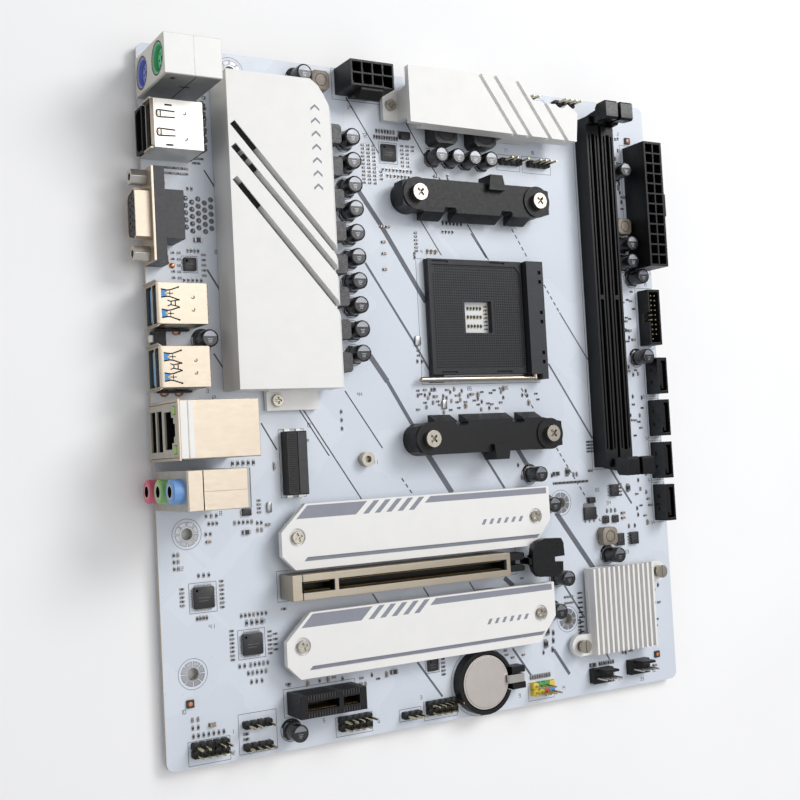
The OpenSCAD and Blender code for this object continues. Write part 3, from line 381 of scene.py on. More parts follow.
# ------------------------------------------------------------------ mesh code
class Build:
    """Collects faces of one piece, in millimetres, then makes the object."""

    def __init__(s, *mats):
        s.v, s.f, s.m = [], [], []
        s.mats = list(mats)

    def idx(s, mat):
        if mat not in s.mats:
            s.mats.append(mat)
        return s.mats.index(mat)

    def add(s, verts, faces, mat):
        o = len(s.v)
        s.v.extend(verts)
        k = s.idx(mat)
        for f in faces:
            s.f.append(tuple(i + o for i in f))
            s.m.append(k)

    def box(s, x0, x1, y0, y1, z0, z1, mat, b=0.0):
        """A box with all its edges cut back by b."""
        if b <= 0:
            v = [(x, y, z) for z in (z0, z1) for y in (y0, y1) for x in (x0, x1)]
            s.add(v, [(0, 2, 3, 1), (4, 5, 7, 6), (0, 1, 5, 4), (2, 6, 7, 3), (0, 4, 6, 2), (1, 3, 7, 5)], mat)
            return
        b = min(b, (x1 - x0) * 0.45, (y1 - y0) * 0.45, (z1 - z0) * 0.45)
        v, key = [], {}
        for k, z in enumerate((z0, z1)):
            for j, y in enumerate((y0, y1)):
                for i, x in enumerate((x0, x1)):
                    sx, sy, sz = (1, -1)[i] * b, (1, -1)[j] * b, (1, -1)[k] * b
                    key[i, j, k] = len(v)
                    v += [(x, y + sy, z + sz), (x + sx, y, z + sz), (x + sx, y + sy, z)]
        f = []
        for a in (0, 1):
            f.append([key[a, 0, 0], key[a, 1, 0], key[a, 1, 1], key[a, 0, 1]][:: 1 if a else -1])
            f.append([key[0, a, 0] + 1, key[1, a, 0] + 1, key[1, a, 1] + 1, key[0, a, 1] + 1][:: -1 if a else 1])
            f.append([key[0, 0, a] + 2, key[1, 0, a] + 2, key[1, 1, a] + 2, key[0, 1, a] + 2][:: 1 if a else -1])
        for a in (0, 1):
            for c in (0, 1):
                s1 = 1 if a == c else -1
                f.append([key[0, a, c] + 1, key[1, a, c] + 1, key[1, a, c] + 2, key[0, a, c] + 2][:: s1])
                f.append([key[a, 0, c], key[a, 1, c], key[a, 1, c] + 2, key[a, 0, c] + 2][:: -s1])
                f.append([key[a, c, 0], key[a, c, 1], key[a, c, 1] + 1, key[a, c, 0] + 1][:: s1])
                for e in (0, 1):
                    q = [key[a, c, e], key[a, c, e] + 1, key[a, c, e] + 2]
                    f.append(q if (a + c + e) % 2 else q[::-1])
        s.add(v, f, mat)

    def prism(s, pts, d, mat, cap=True):
        """pts is a closed outline of 3-D points, swept by the vector d."""
        n = len(pts)
        v = [tuple(p) for p in pts] + [(p[0] + d[0], p[1] + d[1], p[2] + d[2]) for p in pts]
        f = [(i, (i + 1) % n, n + (i + 1) % n, n + i) for i in range(n)]
        if cap:
            f += [tuple(range(n))[::-1], tuple(range(n, 2 * n))]
        s.add(v, f, mat)

    def slab(s, pts, z0, z1, mat, b=0.0):
        """An upright prism whose top edge is cut back by b."""
        n = len(pts)
        area = sum(pts[i][0] * pts[(i + 1) % n][1] - pts[(i + 1) % n][0] * pts[i][1] for i in range(n))
        if area < 0:
            pts = pts[::-1]
        loops = [[(x, y, z0) for x, y in pts], [(x, y, z1 - b) for x, y in pts]]
        if b > 0:
            for t in (0.3, 1.0):
                ins = inset(pts, b * (1 - math.cos(t * math.pi / 2)) if t < 1 else b)
                loops.append([(x, y, z1 - b + b * math.sin(t * math.pi / 2)) for x, y in ins])
        v = [p for l in loops for p in l]
        f = [tuple(range(n))[::-1]]
        for k in range(len(loops) - 1):
            f += [(k * n + i, k * n + (i + 1) % n, (k + 1) * n + (i + 1) % n, (k + 1) * n + i) for i in range(n)]
        f.append(tuple(range((len(loops) - 1) * n, len(loops) * n)))
        s.add(v, f, mat)

    def flat(s, pts, z, mat):
        n = len(pts)
        area = sum(pts[i][0] * pts[(i + 1) % n][1] - pts[(i + 1) % n][0] * pts[i][1] for i in range(n))
        s.add([(x, y, z) for x, y in (pts if area > 0 else pts[::-1])], [tuple(range(n))], mat)

    def stripe(s, pts, w, z, mat):
        """A printed line of width w through the points, mitred."""
        L, R = [], []
        for i, p in enumerate(pts):
            a = Vector(pts[max(i - 1, 0)])
            c = Vector(pts[min(i + 1, len(pts) - 1)])
            p = Vector(p)
            d1 = (p - a).normalized() if i else (c - p).normalized()
            d2 = (c - p).normalized() if i < len(pts) - 1 else d1
            n1 = Vector((-d1.y, d1.x))
            m = n1 + Vector((-d2.y, d2.x))
            m.normalize()
            k = w / 2 / max(0.4, m.dot(n1))
            L.append(p + m * k)
            R.append(p - m * k)
        n = len(pts)
        v = [(q.x, q.y, z) for q in L] + [(q.x, q.y, z) for q in R]
        s.add(v, [(i, n + i, n + i + 1, i + 1) for i in range(n - 1)], mat)

    def ring(s, cx, cy, r0, r1, z, mat, n=40, a0=0.0, a1=T, z0=None):
        k = n if abs(a1 - a0) >= T - 1e-6 else n + 1
        v = []
        for i in range(k):
            a = a0 + (a1 - a0) * i / n
            v += [(cx + r0 * math.cos(a), cy + r0 * math.sin(a), z), (cx + r1 * math.cos(a), cy + r1 * math.sin(a), z if z0 is None else z0)]
        f = []
        for i in range(n):
            j = (i + 1) % k
            f.append((2 * i, 2 * i + 1, 2 * j + 1, 2 * j))
        s.add(v, f, mat)

    def disc(s, cx, cy, r, z, mat, n=20):
        s.add([(cx + r * math.cos(T * i / n), cy + r * math.sin(T * i / n), z) for i in range(n)], [tuple(range(n))], mat)

    def lathe(s, c, prof, mat, n=28, axis="z", cap=True):
        """prof is [(radius, distance along the axis)] from low to high."""
        v, f = [], []
        k = len(prof)
        for r, h in prof:
            for i in range(n):
                a = T * i / n
                u, w = r * math.cos(a), r * math.sin(a)
                v.append((c[0] + u, c[1] + w, c[2] + h) if axis == "z" else (c[0] + h, c[1] + u, c[2] + w) if axis == "x" else (c[0] + w, c[1] + h, c[2] + u))
        for j in range(k - 1):
            f += [(j * n + i, j * n + (i + 1) % n, (j + 1) * n + (i + 1) % n, (j + 1) * n + i) for i in range(n)]
        if cap:
            if prof[0][0] > 1e-6:
                f.append(tuple(range(n))[::-1])
            if prof[-1][0] > 1e-6:
                f.append(tuple(range((k - 1) * n, k * n)))
        s.add(v, f, mat)

    def obox(s, cx, cy, w, d, z0, z1, ang, mat, b=0.0):
        """A box turned by ang about its own centre."""
        o = len(s.v)
        s.box(-w / 2, w / 2, -d / 2, d / 2, z0, z1, mat, b)
        ca, sa = math.cos(ang), math.sin(ang)
        for i in range(o, len(s.v)):
            x, y, z = s.v[i]
            s.v[i] = (cx + x * ca - y * sa, cy + x * sa + y * ca, z)

    def tube(s, pts, r, mat, n=8, closed=False):
        """A round wire through 3-D points."""
        P = [Vector(p) for p in pts]
        v, f = [], []
        k = len(P)
        up = Vector((0, 0, 1))
        for i, p in enumerate(P):
            if closed:
                d = (P[(i + 1) % k] - P[i - 1]).normalized()
            else:
                d = (P[min(i + 1, k - 1)] - P[max(i - 1, 0)]).normalized()
            side = d.cross(up)
            if side.length < 1e-3:
                side = d.cross(Vector((0, 1, 0)))
            side.normalize()
            nn = side.cross(d).normalized()
            for j in range(n):
                a = T * j / n
                q = p + (side * math.cos(a) + nn * math.sin(a)) * r
                v.append(tuple(q))
        m = k if closed else k - 1
        for i in range(m):
            for j in range(n):
                f.append((i * n + j, i * n + (j + 1) % n, ((i + 1) % k) * n + (j + 1) % n, ((i + 1) % k) * n + j))
        if not closed:
            f += [tuple(range(n))[::-1], tuple(range((k - 1) * n, k * n))]
        s.add(v, f, mat)

    def make(s, name, body=BOARD, replaces=(), smooth=35):
        me = bpy.data.meshes.new(name)
        me.from_pydata([row(p) for p in s.v], [], s.f)
        for m in s.mats:
            me.materials.append(M[m])
        me.polygons.foreach_set("material_index", s.m)
        me.polygons.foreach_set("use_smooth", [True] * len(s.f))
        me.update()
        me.set_sharp_from_angle(angle=math.radians(smooth))
        o = bpy.data.objects.new(name, me)
        scene.collection.objects.link(o)
        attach(o, body)
        if replaces:
            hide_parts(*replaces)
        return o


def inset(pts, d):
    """A counterclockwise outline moved inwards by d."""
    n = len(pts)
    out = []
    for i in range(n):
        a, p, c = Vector(pts[i - 1]), Vector(pts[i]), Vector(pts[(i + 1) % n])
        e1, e2 = (p - a).normalized(), (c - p).normalized()
        n1, n2 = Vector((-e1.y, e1.x)), Vector((-e2.y, e2.x))
        m = (n1 + n2)
        if m.length < 1e-6:
            m = n1
        m.normalize()
        k = d / max(0.35, m.dot(n1))
        out.append((p.x + m.x * k, p.y + m.y * k))
    return out


def soften(o, width, segments=2, angle=40, dissolve=True):
    """Rounds a CAD node's edges with modifiers, which leave its mesh as it is."""
    w = o.modifiers.new("weld", "WELD")
    w.merge_threshold = 2e-6
    if dissolve:
        d = o.modifiers.new("planar", "DECIMATE")
        d.decimate_type = "DISSOLVE"
        d.angle_limit = math.radians(1.0)
    b = o.modifiers.new("bevel", "BEVEL")
    b.width = width / 1000
    b.segments = segments
    b.limit_method = "ANGLE"
    b.angle_limit = math.radians(angle)
    b.use_clamp_overlap = True
    b.harden_normals = False
    n = o.modifiers.new("weighted", "WEIGHTED_NORMAL")
    n.keep_sharp = False
    n.weight = 100
    n.thresh = 0.01


def dress(node, mat, bevel=0.12, **kw):
    o = NODES[node]
    o.data.materials.clear()
    o.data.materials.append(M[mat])
    if bevel:
        soften(o, bevel, **kw)
    return o


# ------------------------------------------------------------------ CAD nodes that stay
DRESS = {
    "pcb": ("board", 0.0), "solder_tails": ("solder", 0.0), "ps2_shell": ("beige", 0.2), "video_shell": ("steel", 0.2),
    "video_core": ("black", 0.08), "vga_shell": ("nickel", 0.12), "vga_body": ("dark", 0.12), "vga_jackscrews": ("steel", 0.15),
    "usb3_shell_a": ("nickel", 0.14), "usb3_shell_b": ("nickel", 0.14), "usb3_tongues": ("usb_blue", 0.12),
    "cmos_switch_body": ("black", 0.15), "cmos_button": ("white", 0.12), "lan_usb_shell": ("nickel", 0.18), "lan_usb_core": ("lan_core", 0.12),
    "audio_body": ("grey_metal_and_side_shade", 0.2), "audio_jack_pink": ("jack_a", 0.1), "audio_jack_green": ("jack_b", 0.1), "audio_jack_blue": ("jack_c", 0.1), "ps2_sockets": ("ps2_pair", 0.15),
    "vrm_heatsink": ("powder", 0.35), "top_heatsink": ("powder", 0.35), "chipset_heatsink": ("powder", 0.12), "heatsink_fixings": ("screw", 0.12),
    "soc_chokes": ("choke_dark", 0.25), "eps_connector": ("black", 0.14), "atx_connector": ("black", 0.14),
    "cpu_socket_base": ("socket_light", 0.15), "cpu_socket_cover": ("socket", 0.15), "cpu_socket_lever": ("lever", 0.0),
    "cooler_bracket_upper": ("black", 0.45), "cooler_bracket_lower": ("black", 0.45), "bracket_screws": ("screw", 0.25),
    "cooler_backplate": ("screw_black", 0.25), "dimm_slot_a": ("black", 0.12), "dimm_slot_b": ("black", 0.12),
    "dimm_latch_a_upper": ("black_gloss", 0.3), "dimm_latch_a_lower": ("black_gloss", 0.3), "dimm_latch_b_upper": ("black_gloss", 0.3),
    "dimm_latch_b_lower": ("black_gloss", 0.3), "usb3_header": ("black", 0.1), "sata_ports": ("black_gloss", 0.12),
    "m2_cover_a": ("powder", 0.3), "m2_cover_b": ("powder", 0.3), "m2_fixings": ("screw", 0.15), "m2_connectors": ("black", 0.12),
    "wifi_socket": ("black", 0.12), "pcie_x16_body": ("black", 0.12), "pcie_x16_armour": ("nickel_dark", 0.1), "pcie_x16_latch": ("black_gloss", 0.3),
    "pcie_x1_slot": ("black", 0.15), "battery_holder": ("black", 0.2), "battery_cell": ("cell", 0.25), "battery_clip": ("steel", 0.12),
    "vrm_chokes": ("ferrite", 0.2),
}
for node, (mat, bev) in DRESS.items():
    dress(node, mat, bev)

TOPZ = 0.015  # printed ink over the mask

# ------------------------------------------------------------------ capacitors
caps = Build("sleeve", "can_top")


def capacitor(x, y, r, h):
    caps.slab([(x + (r + 0.15) * a, y + (r + 0.15) * b) for a, b in ((-1, -0.55), (-0.55, -1), (0.55, -1), (1, -0.55), (1, 0.55), (0.55, 1), (-0.55, 1), (-1, 0.55))], 0.0, 0.8, "sleeve", 0.12)
    caps.lathe((x, y, 0), [(r - 0.35, 0.7), (r - 0.3, 1.3), (r - 0.05, 1.75), (r, 2.1), (r, h - 0.55), (r - 0.08, h - 0.25), (r - 0.3, h - 0.05), (r - 0.55, h), (r - 0.62, h - 0.12)], "sleeve", 30, cap=False)
    # top disc, with a bright segment on the negative side
    n, rr, z = 30, r - 0.6, h - 0.13
    cut = 0.28 * rr
    a = math.asin(cut / rr)
    up = [(x + rr * math.cos(a + (math.pi - 2 * a) * i / 14), y + rr * math.sin(a + (math.pi - 2 * a) * i / 14)) for i in range(15)]
    lo = [(x + rr * math.cos(math.pi - a + (math.pi + 2 * a) * i / 20), y + rr * math.sin(math.pi - a + (math.pi + 2 * a) * i / 20)) for i in range(21)]
    caps.flat(up, z, "can_top")
    caps.flat(lo, z, "sleeve")
    for k in range(3):
        yy = y - 0.25 - 0.55 * k
        caps.box(x - 0.9 + 0.15 * k, x + 0.9 - 0.2 * k, yy - 0.12, yy + 0.12, z - 0.05, z + 0.02, "can_top")


for i in range(10):
    capacitor(75.9, -27 - i * 8.64, 3.1, 8)
for x in (113.3, 120.8, 128.3, 135.8):
    capacitor(x, -30.4, 3.0, 8)
for x, y, h in ((58, -5.8, 8), (18.5, -99.6, 8), (202.7, -29.4, 8), (203.9, -59.8, 8), (203.6, -67.1, 8), (208.6, -73.3, 8), (208.8, -106.5, 8),
                (158.1, -164, 6), (161.2, -192.7, 8), (158.1, -205.3, 6), (150.8, -151.7, 8), (44.3, -233.2, 8), (187.2, -186, 8)):
    capacitor(x, y, 3.0, h)
caps.make("capacitor_cans", replaces=("vrm_capacitors", "top_capacitors", "scattered_capacitors"))

# ------------------------------------------------------------------ chokes' copper ends
cu = Build("copper")
for i in range(8):
    y = -26.4 - i * 11.64
    for s in (-1, 1):
        cu.box(68.3 + s * 3.62 - 0.14, 68.3 + s * 3.62 + 0.14, y - 1.6, y + 1.6, 0.05, 2.2, "copper", 0.08)
cu.make("choke_terminals")

# ------------------------------------------------------------------ silkscreen
ink = Build("silk", "silk_thin", "silk_black")


def dashed(a, b, w, mat, dash=1.6, gap=1.1):
    a, b = Vector(a), Vector(b)
    L = (b - a).length
    d = (b - a) / L
    t = 0.0
    while t < L:
        p, q = a + d * t, a + d * min(t + dash, L)
        ink.stripe([tuple(p), tuple(q)], w, TOPZ, mat)
        t += dash + gap


THICK, MED, THIN = "silk", "silk", "silk_thin"
for pts, w, m in (
    ([(78, -10.5), (90.5, -30)], 0.45, THIN), ([(107, -54), (115.5, -67)], 0.45, THIN), ([(103, -17.5), (110, -29), (118, -39.5)], 0.45, THIN),
    ([(22, -41.5), (26.5, -48.5)], 0.5, THIN), ([(81.5, -45), (90, -57), (107.5, -85)], 1.9, THICK), ([(82.5, -71), (101, -99.5), (109, -113)], 0.9, MED),
    ([(71.5, -117.5), (85.7, -138.7)], 0.45, THIN), ([(82.5, -105), (89.2, -114.5)], 2.1, THICK), ([(89.2, -114.5), (99, -131)], 1.5, THICK),
    ([(104.5, -141.5), (114.5, -156.7)], 2.2, THICK), ([(129.5, -58), (136, -67.3)], 0.5, THIN), ([(128, -54.5), (137, -68)], 0.5, THIN),
    ([(170, -88), (183, -107)], 0.6, MED), ([(163, -108.5), (183, -139)], 0.8, MED), ([(127, -139), (138.5, -156.5)], 1.0, MED),
    ([(144.5, -140), (150, -148.5)], 1.9, THICK), ([(162.5, -167.5), (179.5, -191)], 2.2, THICK), ([(163, -194), (173.5, -210)], 0.8, MED),
    ([(157.5, -220.5), (164.5, -231)], 1.3, MED), ([(53, -123.5), (64, -140.5)], 0.45, THIN), ([(54.5, -123.5), (76, -156.5)], 0.45, THIN),
    ([(38.5, -128), (44, -137.5)], 0.5, THIN), ([(21.5, -75.5), (26.3, -83.3)], 0.7, MED), ([(22.5, -104), (26, -109.5)], 0.6, MED),
    ([(78.5, -190.5), (81, -194.5)], 0.6, MED), ([(99.8, -190.5), (102.3, -194.5)], 0.6, MED), ([(120, -190.5), (122.5, -194.5)], 0.6, MED),
    ([(136, -190.5), (140, -194)], 1.9, THICK), ([(95.5, -217), (105.5, -231)], 0.8, MED), ([(138, -217.5), (146, -229)], 0.9, MED),
    ([(190.8, -151), (201.5, -166.5)], 0.9, MED), ([(183.5, -225.5), (185, -228)], 0.7, MED),
):
    ink.stripe(pts, w, TOPZ, m)
for a, b, w in (((147.5, -53), (156, -67), 0.5), ((163, -77), (170, -88), 0.5), ((149, -118), (154.3, -126), 0.5), ((164.5, -142), (172, -153.5), 0.5),
                ((172, -153.5), (184.5, -172.5), 0.5), ((93, -150), (98, -157), 0.5)):
    dashed(a, b, w, THIN)


def outline(x0, x1, y0, y1, w=0.16, mat="silk_thin", gap=None):
    for a, b in (((x0, y0), (x1, y0)), ((x1, y0), (x1, y1)), ((x1, y1), (x0, y1)), ((x0, y1), (x0, y0))):
        ink.stripe([a, b], w, TOPZ, mat)


for r in ((143.5, 154.5, -32.2, -26), (155.7, 169.7, -32.4, -25.8), (25.2, 39, -238.5, -225.2), (7.4, 22, -239.2, -231.4), (61.3, 75.8, -238.6, -231.8),
          (97.2, 111.6, -238.6, -231.8), (86.9, 96, -237.4, -233.1), (144.2, 156.4, -238.6, -231.8), (174.6, 187.2, -236.8, -231.9), (193.4, 206, -235.2, -230.6),
          (206.7, 219.3, -71.2, -17), (210.3, 218.9, -102.8, -77.2), (72.4, 92.4, -11.6, -0.2), (41.6, 141.8, -189.6, -179.1), (42, 69.6, -228.9, -219.3),
          (104, 158.4, -115.9, -68.7), (90.6, 98.4, -33.6, -25.7), (10, 19.6, -190, -180.1), (26.4, 36.2, -207.2, -197.4), (12.5, 18.1, -76.8, -71.2),
          (98.8, 104.8, -221.8, -215.8), (44.8, 54.4, -154.1, -130.5), (182.2, 197.8, -151.6, -8.6)):
    outline(*r)
for y in (-121.9, -139.3, -156.8, -174.3):
    outline(212.7, 219.4, y - 0.8, y + 15.7)
for cx, cy, r in ((122.3, -227.6, 12.9),):
    ink.ring(cx, cy, r - 0.08, r + 0.08, TOPZ, "silk_thin", 60)
for i in range(10):
    y = -27 - i * 8.64
    ink.ring(75.9, y, 3.75, 3.95, TOPZ, "silk_thin", 30)
for x, y in ((58, -5.8), (18.5, -99.6), (202.7, -29.4), (203.9, -59.8), (203.6, -67.1), (208.6, -73.3), (208.8, -106.5), (158.1, -164), (161.2, -192.7),
             (158.1, -205.3), (150.8, -151.7), (44.3, -233.2), (187.2, -186)):
    ink.ring(x, y, 3.75, 3.98, TOPZ, "silk_thin", 30)
    ink.ring(x, y, 3.2, 3.9, TOPZ, "silk_black", 16, math.radians(20), math.radians(160))

SEG = {0: "abcdef", 1: "bc", 2: "abged", 3: "abgcd", 4: "fgbc", 5: "afgcd", 6: "afgedc", 7: "abc", 8: "abcdefg", 9: "abcdfg"}


def number(x, y, text, h=1.3, ang=0.0, mat="silk_black", w=0.17):
    """Plain stroke digits: generic reference numbers beside the parts."""
    ww = h * 0.55
    P = {"a": ((0, h), (ww, h)), "b": ((ww, h), (ww, h / 2)), "c": ((ww, h / 2), (ww, 0)), "d": ((0, 0), (ww, 0)), "e": ((0, h / 2), (0, 0)), "f": ((0, h), (0, h / 2)), "g": ((0, h / 2), (ww, h / 2))}
    ca, sa = math.cos(ang), math.sin(ang)
    for k, ch in enumerate(str(text)):
        for sgm in SEG[int(ch)]:
            a, b = P[sgm]
            pts = []
            for q in (a, b):
                u, v = q[0] + k * (ww + h * 0.28), q[1]
                pts.append((x + u * ca - v * sa, y + u * sa + v * ca))
            d = Vector(pts[1]) - Vector(pts[0])
            d = d.normalized() * w / 2
            ink.stripe([(pts[0][0] - d.x, pts[0][1] - d.y), (pts[1][0] + d.x, pts[1][1] + d.y)], w, TOPZ, mat)


for x, y, t in ((20.6, -119.6, 12), (19.3, -117.2, 3), (16.5, -195.5, 41), (34.7, -196, 27), (22, -158.4, 8), (5.4, -222, 10), (6.6, -175.6, 22), (22.6, -231, 1), (22.8, -238, 2),
                (43, -218.6, 16), (56.5, -232.6, 5), (78, -236.2, 6), (96, -230.6, 3), (113, -236.4, 7), (139.7, -236.4, 9), (160, -236.4, 14), (189, -236.8, 31), (207, -236, 32),
                (200.4, -238.6, 33), (147, -24.8, 17), (160, -24.6, 18), (78.5, -14.6, 24), (106.3, -66.6, 4), (215, -76.2, 19), (212.8, -104.9, 20), (211.3, -123.4, 51),
                (211.3, -140.8, 52), (211.3, -158.3, 53), (211.3, -175.8, 54), (81.5, -144.3, 11), (55.4, -130, 13), (76.5, -119.6, 44), (100, -215, 61), (141.5, -158.6, 62),
                (196.5, -186.6, 63), (188.5, -166, 64), (183, -160.5, 65), (99, -43, 71), (84, -24.5, 72), (111, -27.6, 73), (140.7, -28, 74), (199, -12.6, 75), (206, -13, 2),
                (180.2, -5.2, 8), (24.6, -70, 81), (10.4, -82, 82), (8.4, -145.4, 9), (27.8, -122, 83), (108, -118.6, 84), (124, -118.4, 85), (141, -118.4, 86)):
    number(x, y, t)
ink.make("silkscreen")

# ------------------------------------------------------------------ plated pads round the case screw holes
pads = Build("solder", "laminate")
for x, y in ((33.02, -6.35), (165.1, -6.35), (10.16, -163.83), (165.1, -163.83), (10.16, -209.55), (165.1, -209.55)):
    pads.ring(x, y, 2.0, 2.45, 0.04, "solder", 40, z0=0.02)
    for k in range(8):
        a = T * (k + 0.5) / 8
        pads.ring(x, y, 2.65, 3.95, 0.07, "solder", 8, a - 0.3, a + 0.3, z0=0.03)
        pads.ring(x, y, 2.55, 4.1, 0.02, "silk", 8, a - 0.345, a + 0.345, z0=0.016)
    pads.ring(x, y, 4.95, 5.12, TOPZ, "silk", 48)
pads.make("case_hole_pads")

# ------------------------------------------------------------------ chips with leads
ic = Build("epoxy", "solder", "epoxy_grey")


def strip_lead(x, y, dx, dy, w, L, h):
    """One gull-wing lead, going out along (dx, dy) from (x, y)."""
    prof = [(0, 0.62 * h), (0.28 * L, 0.62 * h), (0.52 * L, 0.1), (L, 0.1), (L, 0.0), (0.45 * L, 0.0), (0.2 * L, 0.5 * h), (0, 0.5 * h)]
    px, py = -dy * w / 2, dx * w / 2
    ic.prism([(x + dx * a + px, y + dy * a + py, z) for a, z in prof], (-2 * px, -2 * py, 0), "solder")


def quad(x, y, w, h, n, pitch, L=0.95, lead=0.22, mat="epoxy", ang=0.0):
    ic.slab([(x - w / 2, y - w / 2 + 0.3), (x - w / 2 + 0.3, y - w / 2), (x + w / 2 - 0.3, y - w / 2), (x + w / 2, y - w / 2 + 0.3), (x + w / 2, y + w / 2 - 0.3),
             (x + w / 2 - 0.3, y + w / 2), (x - w / 2 + 0.3, y + w / 2), (x - w / 2, y + w / 2 - 0.3)], 0.12, h, mat, 0.14)
    ic.lathe((x - w / 2 + 1.1, y + w / 2 - 1.1, h), [(0.42, 0.004), (0.34, 0.004)], "epoxy_grey", 16)
    for k in range(n):
        t = (k - (n - 1) / 2) * pitch
        for dx, dy in ((1, 0), (-1, 0), (0, 1), (0, -1)):
            strip_lead(x + dx * w / 2 + (t if dy else 0), y + dy * w / 2 + (t if dx else 0), dx, dy, lead, L, h)
    for k in range(2):
        ic.box(x - w * 0.28, x + w * (0.3 - 0.12 * k), y - 0.1 - k * 1.0, y + 0.14 - k * 1.0, h - 0.02, h + 0.006, "epoxy_grey")


def dual(x, y, w, d, h, n, pitch, L=1.0, along="x", mat="epoxy"):
    ic.slab([(x - w / 2, y - d / 2), (x + w / 2, y - d / 2), (x + w / 2, y + d / 2), (x - w / 2, y + d / 2)], 0.12, h, mat, 0.16)
    ic.lathe((x - w / 2 + 0.8, y + d / 2 - 0.8, h), [(0.3, 0.004), (0.2, 0.004)], "epoxy_grey", 12)
    for k in range(n):
        t = (k - (n - 1) / 2) * pitch
        for s in (-1, 1):
            if along == "x":
                strip_lead(x + s * w / 2, y + t, s, 0, 0.42, L, h)
            else:
                strip_lead(x + t, y + s * d / 2, 0, s, 0.42, L, h)
    ic.box(x - w * 0.25, x + w * 0.25, y - 0.3, y - 0.1, h - 0.02, h + 0.006, "epoxy_grey")


quad(14.8, -185, 7.1, 1.5, 12, 0.5)
quad(31.3, -202.3, 7.1, 1.5, 12, 0.5)
quad(15.3, -74, 4.5, 0.95, 7, 0.5, 0.16, 0.24)
quad(101.8, -218.8, 4.5, 0.95, 7, 0.5, 0.16, 0.24)
quad(94.5, -29.6, 6.2, 0.95, 10, 0.5, 0.16, 0.24)
dual(192, -160.5, 3.9, 4.9, 1.5, 4, 1.27)
dual(193.5, -180.5, 3.9, 4.9, 1.5, 4, 1.27)
dual(201, -180.5, 3.9, 4.9, 1.5, 4, 1.27)
quad(187, -172, 3.0, 0.95, 4, 0.5, 0.14, 0.22)
quad(192, -172, 3.0, 0.95, 4, 0.5, 0.14, 0.22)
# power transistor with its tab
ic.slab([(176, -171.4), (182, -171.4), (182, -166.5), (176, -166.5)], 0.1, 1.2, "epoxy", 0.2)
ic.box(176.3, 181.7, -166.6, -164.9, 0.0, 0.5, "solder", 0.08)
for k in (-2, 0, 2):
    strip_lead(179 + k * 1.1, -171.4, 0, -1, 0.7, 1.3, 1.2)
# bricks, diodes and crystals
for x, y, w, d, h in ((31.5, -158, 3.2, 2.5, 1.0), (101.5, -22.8, 3.9, 2.6, 2.1), (180, -163.7, 3.0, 2.2, 1.6)):
    ic.slab([(x - w / 2, y - d / 2), (x + w / 2, y - d / 2), (x + w / 2, y + d / 2), (x - w / 2, y + d / 2)], 0.1, h, "epoxy", 0.15)
    for s in (-1, 1):
        ic.box(x + s * (w / 2 + 0.25) - 0.3, x + s * (w / 2 + 0.25) + 0.3, y - d * 0.3, y + d * 0.3, 0.0, 0.35, "solder", 0.05)
for x, y, w, d in ((39.9, -157, 1.8, 3.6), (102.8, -99.6, 2.5, 3.6), (113, -123.5, 2.0, 3.6)):
    ic.slab([(x - w / 2 + 0.4, y - d / 2), (x + w / 2 - 0.4, y - d / 2), (x + w / 2, y - d / 2 + 0.4), (x + w / 2, y + d / 2 - 0.4), (x + w / 2 - 0.4, y + d / 2),
             (x - w / 2 + 0.4, y + d / 2), (x - w / 2, y + d / 2 - 0.4), (x - w / 2, y - d / 2 + 0.4)], 0.0, 0.85, "solder", 0.15)
ic.make("chip_packages", replaces=("chips",))

# loose chokes: a taupe core with its wire ends
lc = Build("choke_brown", "copper", "choke_dark")
for x, y, w, d in ((66.2, -6.4, 6.9, 6.9), (203.7, -52.2, 6.9, 6.5), (186.1, -178.5, 7.4, 7.0)):
    c = 1.1
    P8 = [(x - w / 2 + c, y - d / 2), (x + w / 2 - c, y - d / 2), (x + w / 2, y - d / 2 + c), (x + w / 2, y + d / 2 - c), (x + w / 2 - c, y + d / 2), (x - w / 2 + c, y + d / 2), (x - w / 2, y + d / 2 - c), (x - w / 2, y - d / 2 + c)]
    lc.slab(P8, 0.2, 3.95, "choke_brown", 0.35)
    lc.lathe((x, y, 3.95), [(2.3, -0.02), (2.3, 0.03), (2.05, 0.04), (2.0, -0.0)], "choke_dark", 28, cap=False)
    for s in (-1, 1):
        lc.box(x + s * (w / 2) - 0.45, x + s * (w / 2) + 0.3, y - 1.3, y + 1.3, 0.0, 0.9, "solder", 0.1)
lc.make("loose_chokes")

# ------------------------------------------------------------------ pin headers
hd = Build("black", "pin", "yellow", "green", "red", "usb_blue")


def header(x, y, nx, ny, skip=None, h=8.4, base=2.4, colours=None):
    for i in range(nx):
        for j in range(ny):
            cx, cy = x + 2.54 * i, y + 2.54 * j
            m = colours(i, j) if colours else "black"
            c, r = 0.38, 1.25
            hd.slab([(cx - r + c, cy - r), (cx + r - c, cy - r), (cx + r, cy - r + c), (cx + r, cy + r - c), (cx + r - c, cy + r), (cx - r + c, cy + r), (cx - r, cy + r - c), (cx - r, cy - r + c)], 0.0, base, m, 0.12)
            if i + j * nx != skip:
                q, p = 0.32, 0.2
                z1, z2 = h - 0.35, h
                v = [(cx + a * q, cy + b * q, base - 0.05) for a, b in ((-1, -1), (1, -1), (1, 1), (-1, 1))]
                v += [(cx + a * q, cy + b * q, z1) for a, b in ((-1, -1), (1, -1), (1, 1), (-1, 1))]
                v += [(cx + a * p, cy + b * p, z2) for a, b in ((-1, -1), (1, -1), (1, 1), (-1, 1))]
                f = [(k, (k + 1) % 4, 4 + (k + 1) % 4, 4 + k) for k in range(4)] + [(4 + k, 4 + (k + 1) % 4, 8 + (k + 1) % 4, 8 + k) for k in range(4)] + [(8, 9, 10, 11)]
                hd.add(v, f, "pin")


